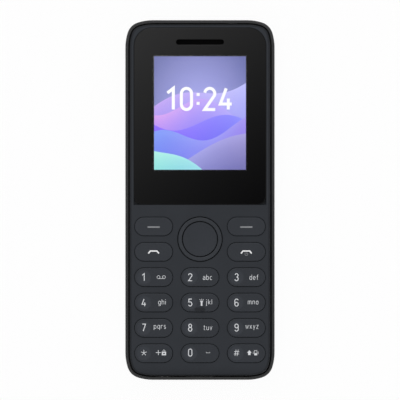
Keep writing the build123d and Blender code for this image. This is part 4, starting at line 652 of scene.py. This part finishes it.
# Glyphs: a width and lines of points, in units of the digit's or the small letter's height
DIGITS = {
    "0": (0.48, [arc((0.24, 0.76), (0.24, 0.24), 0, 180) + arc((0.24, 0.24), (0.24, 0.24), 180, 360)
                 + [(0.48, 0.76)]]),
    "1": (0.34, [[(-0.06, 0.78), (0.22, 1), (0.22, 0)]]),
    "2": (0.48, [arc((0.24, 0.75), (0.24, 0.25), 170, -20) + [(0.0, 0.0), (0.5, 0.0)]]),
    "3": (0.48, [arc((0.24, 0.76), (0.22, 0.24), 165, -90), arc((0.24, 0.26), (0.24, 0.26), 90, -165)]),
    "4": (0.52, [[(0.28, 1), (0.0, 0.26), (0.54, 0.26)], [(0.38, 0.52), (0.38, 0)]]),
    "5": (0.48, [[(0.46, 1), (0.06, 1), (0.03, 0.54)] + arc((0.24, 0.31), (0.24, 0.3), 125, -155)]),
    "6": (0.48, [arc((0.24, 0.76), (0.24, 0.24), 20, 180) + arc((0.24, 0.27), (0.24, 0.27), 180, 540, 18)]),
    "7": (0.48, [[(0.0, 1), (0.48, 1), (0.14, 0)]]),
    "8": (0.48, [loop((0.24, 0.76), (0.2, 0.24)), loop((0.24, 0.27), (0.24, 0.27))]),
    "9": (0.48, [arc((0.24, 0.24), (0.24, 0.24), 200, 360) + arc((0.24, 0.73), (0.24, 0.27), 0, 360, 18)]),
    ":": (0.1, [[(0.05, 0.22), (0.05, 0.36)], [(0.05, 0.64), (0.05, 0.78)]]),
    "*": (0.8, [[(0.4, 0.5), arc((0.4, 0.5), (0.42, 0.42), turn, turn, 1)[0]]
                for turn in range(18, 378, 72)]),
    "#": (0.74, [[(0.14, 0.06), (0.32, 0.94)], [(0.44, 0.06), (0.62, 0.94)],
                 [(0.04, 0.66), (0.76, 0.66)], [(0.0, 0.34), (0.72, 0.34)]]),
}
BOWL = loop((0.31, 0.5), (0.31, 0.5))
ARCH = arc((0.3, 0.68), (0.3, 0.32), 180, 0) + [(0.6, 0)]
ASCENT = 1.48
DESCENT = -0.42
LETTERS = {
    "a": (0.6, [[(0.05, 0.84)] + arc((0.3, 0.7), (0.3, 0.3), 130, 0) + [(0.6, 0)],
                [(0.6, 0.58)] + arc((0.26, 0.29), (0.26, 0.29), 90, 270) + [(0.6, 0.14)]]),
    "b": (0.62, [[(0, 0), (0, ASCENT)], BOWL]),
    "c": (0.56, [arc((0.31, 0.5), (0.31, 0.5), 48, 312)]),
    "d": (0.62, [[(0.62, 0), (0.62, ASCENT)], BOWL]),
    "e": (0.62, [[(0.0, 0.5), (0.62, 0.5)] + arc((0.31, 0.5), (0.31, 0.5), 14, 312, 14)]),
    "f": (0.44, [[(0.16, 0)] + arc((0.4, 1.2), (0.24, 0.26), 180, 85), [(0, 1), (0.4, 1)]]),
    "g": (0.62, [BOWL, [(0.62, 1)] + arc((0.31, -0.12), (0.31, 0.3), 0, -140)]),
    "h": (0.6, [[(0, 0), (0, ASCENT)], ARCH]),
    "i": (0.06, [[(0.03, 0), (0.03, 1)], [(0.03, 1.3), (0.03, 1.5)]]),
    "j": (0.3, [[(0.17, 1)] + arc((-0.05, -0.16), (0.22, 0.26), 0, -80), [(0.17, 1.3), (0.17, 1.5)]]),
    "k": (0.56, [[(0, 0), (0, ASCENT)], [(0.54, 1), (0, 0.42)], [(0.2, 0.6), (0.56, 0)]]),
    "l": (0.06, [[(0.03, 0), (0.03, ASCENT)]]),
    "m": (0.94, [[(0, 0), (0, 1)], arc((0.235, 0.72), (0.235, 0.28), 180, 0) + [(0.47, 0)],
                 arc((0.705, 0.72), (0.235, 0.28), 180, 0) + [(0.94, 0)]]),
    "n": (0.6, [[(0, 0), (0, 1)], ARCH]),
    "o": (0.62, [BOWL]),
    "p": (0.62, [[(0, 1), (0, DESCENT)], BOWL]),
    "q": (0.62, [[(0.62, 1), (0.62, DESCENT)], BOWL]),
    "r": (0.4, [[(0, 0), (0, 1)], arc((0.3, 0.68), (0.3, 0.32), 180, 60)]),
    "s": (0.5, [arc((0.26, 0.75), (0.24, 0.25), 30, 270) + arc((0.26, 0.25), (0.25, 0.25), 90, -150)]),
    "t": (0.42, [[(0.16, 1.34)] + arc((0.4, 0.24), (0.24, 0.24), 180, 280), [(0, 1), (0.4, 1)]]),
    "u": (0.6, [[(0, 1)] + arc((0.3, 0.32), (0.3, 0.32), 180, 360), [(0.6, 1), (0.6, 0)]]),
    "v": (0.56, [[(0, 1), (0.28, 0), (0.56, 1)]]),
    "w": (0.84, [[(0, 1), (0.21, 0), (0.42, 0.95), (0.63, 0), (0.84, 1)]]),
    "x": (0.56, [[(0, 1), (0.56, 0)], [(0.56, 1), (0, 0)]]),
    "y": (0.56, [[(0, 1), (0.29, 0.06)], [(0.56, 1), (0.14, DESCENT)]]),
    "z": (0.52, [[(0, 1), (0.52, 1), (0, 0), (0.54, 0)]]),
}


def write(glyphs, text, size, space):
    """Lines of a piece of text from its left end, and its width."""
    lines, reach = [], 0
    for letter in text:
        width, shapes = glyphs[letter]
        for shape in shapes:
            lines.append([((x + reach) * size, y * size) for x, y in shape])
        reach += width + space
    return lines, (reach - space) * size


def shifted(lines, x, y):
    """Lines moved by X and Y."""
    return [[(place[0] + x, place[1] + y) for place in line] for line in lines]


def centred(lines):
    """Lines moved so that the middle of their height is at zero."""
    heights = [y for line in lines for _, y in line]
    return shifted(lines, 0, -(min(heights) + max(heights)) / 2)


def digit(sign):
    """Quads of a key's large sign, in the middle of its dish."""
    lines, width = write(DIGITS, sign, DIGIT_SIZE, 0)
    line_width = SIGN_LINE if sign in "*#" else DIGIT_LINE
    placed = shifted(centred(lines), DIGIT_X - width / 2, 0)
    return [quad for line in placed for quad in ribbon(line, line_width)]


def word(text):
    """Quads of a key's small letters, which end at the right."""
    lines, width = write(LETTERS, text, WORD_SIZE, WORD_SPACE)
    placed = shifted(centred(lines), WORD_RIGHT_X - width, 0)
    return [quad for line in placed for quad in ribbon(line, WORD_LINE)]


def strokes(width, *lines):
    """Quads of lines given in millimetres."""
    return [quad for line in lines for quad in ribbon([(x * MM, y * MM) for x, y in line], width)]


def filled(points):
    """An outline given in millimetres."""
    return [(x * MM, y * MM) for x, y in points]


# Small signs, drawn in millimetres from the middle of the cap, and their line widths
VOICEMAIL_LINE = 0.13 * MM
RAY_LINE = 0.16 * MM
LOCK_LINE = 0.38 * MM
SHACKLE_LINE = 0.12 * MM
PLUS_LINE = 0.18 * MM
SPACE_LINE = 0.11 * MM
HANDSET_LINE = 0.14 * MM
SOUND_LINE = 0.11 * MM
RECEIVER_LINE = 0.4 * MM
POWER_LINE = 0.14 * MM
DASH_LINE = 0.44 * MM


def voicemail():
    """Two reels on a tape."""
    reels = [loop((x, 0.03), (0.46, 0.46)) for x in (1.5, 3.2)]
    return strokes(VOICEMAIL_LINE, *reels, [(1.5, -0.43), (3.2, -0.43)])


def torch():
    """A torch that points up, with three rays."""
    handle = filled(block(0.25, -1.0, 0.75, 0.05))
    head = filled([(0.25, 0.05), (0.75, 0.05), (1.0, 0.5), (0.0, 0.5)])
    rays = strokes(RAY_LINE, [(0.5, 0.68), (0.5, 1.1)], [(0.14, 0.68), (-0.08, 1.02)],
                   [(0.86, 0.68), (1.08, 1.02)])
    return [handle, head] + rays


def padlock():
    """A plus and a padlock."""
    body = strokes(LOCK_LINE, closed(block(2.72, -0.64, 3.68, 0.08)))
    shackle = strokes(SHACKLE_LINE, [(2.9, 0.2)] + arc((3.2, 0.5), (0.3, 0.34), 180, 0) + [(3.5, 0.2)])
    return body + shackle + strokes(PLUS_LINE, [(0.68, 0), (2.22, 0)], [(1.45, -0.77), (1.45, 0.77)])


def space_bar():
    """A flat tray for the space."""
    return strokes(SPACE_LINE, [(1.95, 0.2), (1.95, -0.08), (3.05, -0.08), (3.05, 0.2)])


def shift_and_silent():
    """An arrow for capitals, and a handset between two sound waves."""
    arrow = [filled([(0.22, 0.02), (1.66, 0.02), (0.94, 0.82)]), filled(block(0.56, -0.7, 1.32, 0.1))]
    handset = strokes(HANDSET_LINE, closed(block(2.54, -0.7, 3.3, 0.7)))
    pad = [filled(block(2.54, -0.7, 3.3, -0.12))]
    return arrow + handset + pad + strokes(SOUND_LINE, *([(x, -0.42), (x, 0.42)] for x in (2.14, 3.7)))


def receiver():
    """The arch of a telephone's handset."""
    return strokes(RECEIVER_LINE, [(-1.66, -0.51), (-1.04, 0.25), (1.04, 0.25), (1.66, -0.51)])


def power():
    """An open ring with a stroke in its gap."""
    return strokes(POWER_LINE, arc((0, -0.66), (0.46, 0.46), 125, 415, 16), [(0, -0.6), (0, -0.18)])


PALE = moulded("legend", (0.56, 0.57, 0.59), **INK)
BRIGHT = moulded("legend_white", (0.7, 0.7, 0.71), **INK)
DIM = moulded("legend_grey", (0.185, 0.19, 0.2), **INK)
SOFT_DASH = strokes(DASH_LINE, [(-1.9, -0.18), (1.9, -0.18)])
LEGENDS = [
    ("key_1", "legend", digit("1") + voicemail(), PALE),
    ("key_2", "legend", digit("2") + word("abc"), PALE),
    ("key_3", "legend", digit("3") + word("def"), PALE),
    ("key_4", "legend", digit("4") + word("ghi"), PALE),
    ("key_5", "legend", digit("5") + torch() + word("jkl"), PALE),
    ("key_6", "legend", digit("6") + word("mno"), PALE),
    ("key_7", "legend", digit("7") + word("pqrs"), PALE),
    ("key_8", "legend", digit("8") + word("tuv"), PALE),
    ("key_9", "legend", digit("9") + word("wxyz"), PALE),
    ("key_star", "legend", digit("*") + padlock(), PALE),
    ("key_0", "legend", digit("0") + space_bar(), PALE),
    ("key_hash", "legend", digit("#") + shift_and_silent(), PALE),
    ("soft_key_left", "legend", SOFT_DASH, DIM),
    ("soft_key_right", "legend", SOFT_DASH, DIM),
    ("call_key", "legend", receiver(), BRIGHT),
    ("end_key", "legend", receiver(), BRIGHT),
    ("end_key", "power_sign", power(), DIM),
]


def print_legend(key, kind, polygons, finish):
    """A thin print that follows the key's top, dish and all."""
    middle = centre_of(key)
    placed = shifted(polygons, middle.x, middle.y + LEGEND_RISE.get(key, 0))
    piece = thin_print(
        f"{key}_{kind}", placed, lambda x, y: surface_height(key, x, y) + PRINT_HEIGHT,
        lambda x, y: surface_height(key, x, y) - PRINT_DEPTH, finish,
    )
    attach(piece, key)


for key, kind, polygons, finish in LEGENDS:
    print_legend(key, kind, polygons, finish)


# Display lens
lens_low, lens_high = (Vector(corner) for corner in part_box("display_lens"))
lens_middle = centre_of("display_lens")
display_y = DISPLAY_TOP_Y - DISPLAY_HEIGHT / 2


def lens_outline(inset):
    """The lens's rim, less an inset."""
    return rounded(lens_high.x - lens_low.x, lens_high.y - lens_low.y, LENS_TOP_RADIUS,
                   LENS_BOTTOM_RADIUS, (lens_middle.x, lens_middle.y), inset)


def slot_outline(inset):
    """The earpiece slot's rim, less an inset."""
    centre = (0, lens_high.y - SLOT_FROM_TOP)
    return rounded(SLOT_WIDTH, SLOT_HEIGHT, SLOT_RADIUS, SLOT_RADIUS, centre, inset)


lens_plate = plate(
    "lens_plate", lens_outline, [slot_outline],
    rounded(DISPLAY_WIDTH + 2 * WINDOW_MARGIN, DISPLAY_HEIGHT + 2 * WINDOW_MARGIN, WINDOW_MARGIN,
            WINDOW_MARGIN, (0, display_y)),
    lens_low.z, lens_high.z, FINISHES["lens"], LENS_CLEAR, LENS_EDGE_ROUND,
)
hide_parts("display_lens")
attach(lens_plate, "root")

# Camera window
window_low, window_high = (Vector(corner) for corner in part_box("camera_window"))
window_middle = centre_of("camera_window")
window_radius = (window_high.x - window_low.x) / 2


def window_outline(inset):
    """The camera window's rim, less an inset."""
    return circle((window_middle.x, window_middle.y), window_radius - inset)


camera_glass = plate(
    "camera_glass", window_outline, [], circle((window_middle.x, window_middle.y), CAMERA_CLEAR_RADIUS),
    window_low.z, window_high.z, FINISHES["window"], WINDOW_CLEAR, CAMERA_EDGE_ROUND,
)
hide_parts("camera_window")
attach(camera_glass, "battery_cover")

# Loudspeaker's diaphragm: a rolled rubber surround and a stepped plate
SPEAKER_MARGIN = 1.65 * MM
SPEAKER_ROUND = 1.35 * MM
SPEAKER_RECESS = 0.5 * MM
ROLL_WIDTH = 1.2 * MM
ROLL_HEIGHT = 0.2 * MM
ROLL_BASE = 0.34 * MM
ROLL_STEPS = 9
# How far inwards and how high the rings of the stepped plate lie, in millimetres
PLATE_STEPS = [(1.35, 0.36), (1.6, 0.24), (2.3, 0.2), (2.6, 0.28), (2.9, 0.28), (3.3, 0.16), (4.2, 0.14)]
speaker_low, speaker_high = (Vector(corner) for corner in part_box("loudspeaker"))
speaker_middle = centre_of("loudspeaker")
# Material slots of the diaphragm
RUBBER, PLATE = 0, 1


def speaker_outline(inset):
    """The diaphragm's rim, less an inset."""
    return rounded(speaker_high.x - speaker_low.x, speaker_high.y - speaker_low.y,
                   SPEAKER_ROUND + SPEAKER_MARGIN, SPEAKER_ROUND + SPEAKER_MARGIN,
                   (speaker_middle.x, speaker_middle.y), inset + SPEAKER_MARGIN)


def contoured(name, outline, rows, finishes):
    """A closed piece whose surface steps inwards: rows are an inset, a height and a material slot."""
    build = bmesh.new()
    rings = [[build.verts.new((x, y, level)) for x, y in outline(inset)] for inset, level, _ in rows]
    for outer, inner, (_, _, slot) in zip(rings, rings[1:], rows[1:]):
        for index in range(len(outer)):
            following = (index + 1) % len(outer)
            face = build.faces.new([outer[index], outer[following], inner[following], inner[index]])
            face.material_index = slot
            face.smooth = True
    build.faces.new(rings[0])
    build.faces.new(rings[-1]).material_index = rows[-1][2]
    bmesh.ops.recalc_face_normals(build, faces=build.faces)
    return mesh_object(name, build, finishes)


rows = [(0, speaker_low.z + SPEAKER_RECESS, RUBBER)]
for step in range(ROLL_STEPS + 1):
    turn = math.pi * step / ROLL_STEPS
    level = speaker_low.z + ROLL_BASE - ROLL_HEIGHT * math.sin(turn)
    rows.append((ROLL_WIDTH / 2 * (1 - math.cos(turn)), level, RUBBER))
rows += [(inset * MM, speaker_low.z + level * MM, PLATE) for inset, level in PLATE_STEPS]
diaphragm = contoured("speaker_diaphragm", speaker_outline, rows,
                      [FINISHES["foam"], metal("speaker_plate", (0.2, 0.2, 0.21), 0.4)])
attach(diaphragm, "root")

# Painted shade in the lines and cuts stamped in the card sockets, and signs printed on the battery, drawn in
# millimetres from a node's middle
STAMP_LINE = 0.16 * MM
POLE_LINE = 0.24 * MM
# Width, height and clipped corner of a card's sign
SIM_CARD = (5.6, 3.6, 1.1)
MEMORY_CARD = (3.2, 4.4, 1.0)
TONGUE_HALF_WIDTH = 0.8
TONGUE_LENGTH = 2.6
SOCKET_SIDES = (-8.7, 8.7)


def stamped(name, node, lines, line_width, finish, body):
    """Marks sunk in the side of a node that faces the back."""
    middle = centre_of(node)
    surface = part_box(node)[0][2]
    piece = thin_print(name, shifted(strokes(line_width, *lines), middle.x, middle.y),
                       lambda x, y: surface + PRINT_DEPTH, lambda x, y: surface - PRINT_HEIGHT, finish)
    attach(piece, body)


def card_sign(x, y, card):
    """Outline of a card, given by its width, its height and its clipped corner."""
    width, height, corner = card
    west, east, south, north = x - width / 2, x + width / 2, y - height / 2, y + height / 2
    clipped = [(east, north - corner), (east - corner, north)]
    return closed([(west, south), (east, south), *clipped, (west, north)])


def spring_cut(x, y, side):
    """Three-sided cut round a spring tongue."""
    west, east, end = x - TONGUE_HALF_WIDTH, x + TONGUE_HALF_WIDTH, y + TONGUE_LENGTH * side
    return [(west, y), (west, end), (east, end), (east, y)]


def socket_marks(x, card_y, card, tongue_x, tongue_y, side, seam_x, seam_y):
    """A card's sign, two spring tongues beside it, and a pressed seam across the socket."""
    return [card_sign(x, card_y, card), spring_cut(x - tongue_x, tongue_y, side),
            spring_cut(x + tongue_x, tongue_y, side), [(x - seam_x, seam_y), (x + seam_x, seam_y)]]


# Painted shade: dark lines where the sockets' stamped lines and spring cuts are shaded
SHADOW = moulded("stamped_line_shade", (0.02, 0.02, 0.021), 0.6, 0.3 * MM, 0.002 * MM)
sim_marks = [mark for x in SOCKET_SIDES for mark in socket_marks(x, 0.4, SIM_CARD, 5.4, -4.2, 1, 7.2, 6.4)]
memory_marks = socket_marks(0, -0.4, MEMORY_CARD, 4.4, 3.8, -1, 5.6, -6.2)
battery_marks = [[(2.6, 0.1), (4.0, 0.1)], [(3.3, -0.6), (3.3, 0.8)], [(-4.0, 0.1), (-2.6, 0.1)]]
stamped("sim_socket_stamps", "sim_sockets", sim_marks, STAMP_LINE, SHADOW, "root")
stamped("memory_socket_stamps", "memory_card_socket", memory_marks, STAMP_LINE, SHADOW, "root")
stamped("battery_signs", "battery_cap", battery_marks, POLE_LINE, PALE, "battery")

# Screen: a wallpaper of overlapping waves and a clock
panel_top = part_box("lcd_panel")[1][2]
left, right = -DISPLAY_WIDTH / 2, DISPLAY_WIDTH / 2
top, bottom = DISPLAY_TOP_Y, DISPLAY_TOP_Y - DISPLAY_HEIGHT


def sheet_floor(level):
    """Height of a sheet's underside: the sheets are as far apart as they are thick."""
    return panel_top + ART_THICKNESS * (level * 2 + 1)


def screen_sheet(name, rows, level, finish):
    """A sheet of the picture, some sheets above the panel: rows of points from its crest down to its foot."""
    across = len(rows[0])
    points = [point for row in rows for point in row]
    starts = [line * across + column for line in range(len(rows) - 1) for column in range(across - 1)]
    faces = [[first + across, first + across + 1, first + 1, first] for first in starts]
    floor = sheet_floor(level)
    piece = solid(name, points, faces, lambda x, y: floor + ART_THICKNESS, lambda x, y: floor, finish)
    depth = piece.data.attributes.new("below_crest", "FLOAT", "POINT")
    for index in range(len(points)):
        below = (rows[0][index % across][1] - points[index][1]) / DISPLAY_HEIGHT
        depth.data[index].value = below
        depth.data[index + len(points)].value = below
    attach(piece, "root")


def silk(name, crest_colours, deep_colours):
    """A sheet of light whose left and right colours deepen from its crest down."""
    finish = lit(name, srgb(*deep_colours[0]))
    along = finish.spread(finish.axes(finish.place())[0], 0, 1, left, right)
    below = finish.add("ShaderNodeAttribute", attribute_name="below_crest").outputs["Fac"]
    falloff = finish.calculate("POWER", finish.spread(below, 0, 1, 0, SILK_DEPTH), SILK_FALL)
    crest, deep = (finish.mix(along, srgb(*west), srgb(*east))
                   for west, east in (crest_colours, deep_colours))
    finish.drive("Emission Color", finish.mix(falloff, crest, deep))
    return finish


def dusk():
    """The picture's ground, which darkens from its middle to its corners."""
    middle, corner = (srgb(*colour) for colour in DUSK_COLOURS)
    start, end = (DISPLAY_WIDTH * share for share in DUSK_SHARES)
    squeeze = DISPLAY_WIDTH / DISPLAY_HEIGHT
    finish = lit("screen_sky", middle)
    away = finish.measure("DISTANCE", finish.place((1, squeeze, 0)), (0, display_y * squeeze, 0))
    finish.drive("Emission Color", finish.mix(finish.spread(away, 0, 1, start, end), middle, corner))
    return finish


def wave(start, end, swell, phase, turns, columns=96, lines=10):
    """Rows of points from a wavy crest down to the screen's lower edge.

    start and end are the crest's heights at the sides, and swell is its waviness, as shares of the screen.
    """
    crest = []
    for column in range(columns + 1):
        along = column / columns
        share = start + (end - start) * along + swell * math.sin(math.tau * (turns * along + phase))
        if share > 0:
            crest.append((left + DISPLAY_WIDTH * along, bottom + DISPLAY_HEIGHT * share))
    return [[(x, y + (bottom - y) * line / lines) for x, y in crest] for line in range(lines + 1)]


# Each wave: the start, end, swell, phase and turns of its crest, its crest's colours at the left and the
# right, and the same two deep down
WAVES = [
    ((0.54, 0.8, 0.06, 0.05, 0.85), ((194, 160, 242), (192, 194, 254)), ((136, 126, 236), (158, 158, 246))),
    ((0.58, 0.48, 0.1, 0.75, 0.9), ((218, 160, 240), (174, 174, 254)), ((130, 110, 246), (132, 138, 248))),
    ((0.45, 0.38, 0.09, 0.6, 0.8), ((140, 100, 255), (142, 144, 255)), ((94, 62, 244), (106, 108, 244))),
    ((0.26, 0.4, 0.08, 0.2, 0.95), ((126, 158, 250), (166, 150, 244)), ((98, 114, 240), (130, 104, 230))),
    ((0.0, 0.29, 0.05, 0.7, 0.7), ((160, 164, 236), (170, 162, 226)), ((112, 120, 200), (104, 102, 170))),
    ((0.2, -0.26, 0.06, 0.9, 0.9), ((178, 242, 230), (136, 212, 244)), ((98, 212, 216), (102, 156, 232))),
]
screen_sheet("screen_sky", [[(left, top), (right, top)], [(left, bottom), (right, bottom)]], 0, dusk())
for number, (shape, crest_colours, deep_colours) in enumerate(WAVES, 1):
    screen_sheet(f"screen_wave_{number}", wave(*shape), number,
                 silk(f"screen_wave_{number}", crest_colours, deep_colours))

clock_lines, clock_width = write(DIGITS, "10:24", CLOCK_SIZE, CLOCK_SPACE)
clock_quads = [quad for line in shifted(clock_lines, -clock_width / 2, display_y + CLOCK_Y - CLOCK_SIZE / 2)
               for quad in ribbon(line, CLOCK_LINE)]
clock_floor = sheet_floor(len(WAVES) + 1)
clock = thin_print("screen_clock", clock_quads, lambda x, y: clock_floor + ART_THICKNESS,
                   lambda x, y: clock_floor, lit("screen_clock", srgb(252, 252, 255)))
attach(clock, "root")


def square(name, reach, height):
    """A level square over the origin."""
    mesh = bpy.data.meshes.new(name)
    mesh.from_pydata([(x, y, height) for x, y in block(-reach, -reach, reach, reach)], [], [range(4)])
    return add_object(name, mesh)


# Floor: it takes a faint shadow and bounces light, but otherwise the white world shows through it
FLOOR_REACH = 4
FLOOR_DROP = 0.05 * MM
FLOOR_CLEARNESS = 0.96
floor = square("floor", FLOOR_REACH, -FLOOR_DROP)
floor_finish = Finish("floor", (0.6, 0.6, 0.6), 0.9, {"Specular IOR Level": 0.0})
floor.data.materials.append(floor_finish.material)
floor_ray = floor_finish.add("ShaderNodeLightPath")
under_side = floor_finish.add("ShaderNodeNewGeometry").outputs["Backfacing"]
nothing = floor_finish.add("ShaderNodeBsdfTransparent").outputs[0]
clearness = floor_finish.spread(floor_finish.seen(floor_ray), 0, FLOOR_CLEARNESS, 0, 1)
upper_side = floor_finish.mix_shaders(clearness, floor_finish.shader.outputs[0], nothing)
absent = floor_finish.any_of(under_side, floor_ray.outputs["Is Shadow Ray"])
floor_finish.show(floor_finish.mix_shaders(absent, upper_side, nothing))

# World: a white background, and softer light from the walls than from above, by the height of a direction
SKY = [(0.0, 0.0), (0.001, 0.22), (0.3, 0.42), (0.65, 1.24), (0.95, 1.28)]
SKY_RANGE = 2.0
world = bpy.data.worlds.new("studio")
bpy.context.scene.world = world
world.use_nodes = True
studio = Nodes(world.node_tree)
sky = studio.add("ShaderNodeValToRGB")
studio.link(studio.axes(studio.add("ShaderNodeTexCoord").outputs["Generated"])[2], sky.inputs["Fac"])
stops = sky.color_ramp.elements
while len(stops) > 1:
    stops.remove(stops[-1])
for index, (height, light) in enumerate(SKY):
    stop = stops.new(height) if index else stops[0]
    stop.position = height
    stop.color = (light / SKY_RANGE, light / SKY_RANGE, light / SKY_RANGE, 1)
dome = studio.tree.nodes["Background"]
dome.inputs["Strength"].default_value = SKY_RANGE
studio.link(sky.outputs["Color"], dome.inputs["Color"])
white = studio.add("ShaderNodeBackground")
white.inputs["Color"].default_value = (1, 1, 1, 1)
shown = studio.seen(studio.add("ShaderNodeLightPath"))
studio.link(studio.mix_shaders(shown, dome.outputs[0], white.outputs[0]),
            studio.tree.nodes["World Output"].inputs["Surface"])

# Graduated softbox above the phone, brightest at the upper left: the lens shows it
CARD_HEIGHT = 0.5
CARD_REACH = 0.16
CARD_LIGHT = 2.2
# It grows brighter in this direction, between two places along it
CARD_TOWARDS = (-0.6, 0.8, 0)
CARD_FADE = (-0.03, 0.09)
CARD_DARKEST = 0.05
CARD_CURVE = 1.8
card = square("softbox", CARD_REACH, CARD_HEIGHT)
card.visible_camera = False
card.visible_shadow = False
card_finish = Finish("softbox", (0, 0, 0), 1.0)
card.data.materials.append(card_finish.material)
across = card_finish.measure("DOT_PRODUCT", card_finish.place(), CARD_TOWARDS)
fade = card_finish.calculate("POWER", card_finish.spread(across, CARD_DARKEST, 1, *CARD_FADE), CARD_CURVE)
glow = card_finish.add("ShaderNodeEmission")
card_finish.link(card_finish.calculate("MULTIPLY", fade, CARD_LIGHT), glow.inputs["Strength"])
card_finish.show(glow.outputs[0])


def softbox(name, place, size, energy):
    """A round soft lamp that points at the phone."""
    data = bpy.data.lights.new(name, "AREA")
    data.shape = "DISK"
    data.size = size
    data.energy = energy
    lamp = add_object(name, data)
    lamp.location = place
    lamp.rotation_euler = (-Vector(place)).to_track_quat("-Z", "Y").to_euler()
    lamp.visible_camera = False


softbox("lamp_top", place=(-0.15, 0.75, 0.7), size=0.5, energy=2.2)
softbox("lamp_below", place=(0.35, -0.35, -0.85), size=1.2, energy=13)

# Camera straight above, as in the photograph
rim_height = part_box("battery_cover")[1][2]
camera_data = bpy.data.cameras.new("camera")
camera_data.lens = CAMERA_LENS
camera_data.sensor_width = CAMERA_SENSOR
camera = add_object("camera", camera_data)
camera.location = (0, 0, rim_height + PHOTO_WIDTH * CAMERA_LENS / CAMERA_SENSOR)
bpy.context.scene.camera = camera
bpy.context.scene.view_settings.view_transform = "Standard"
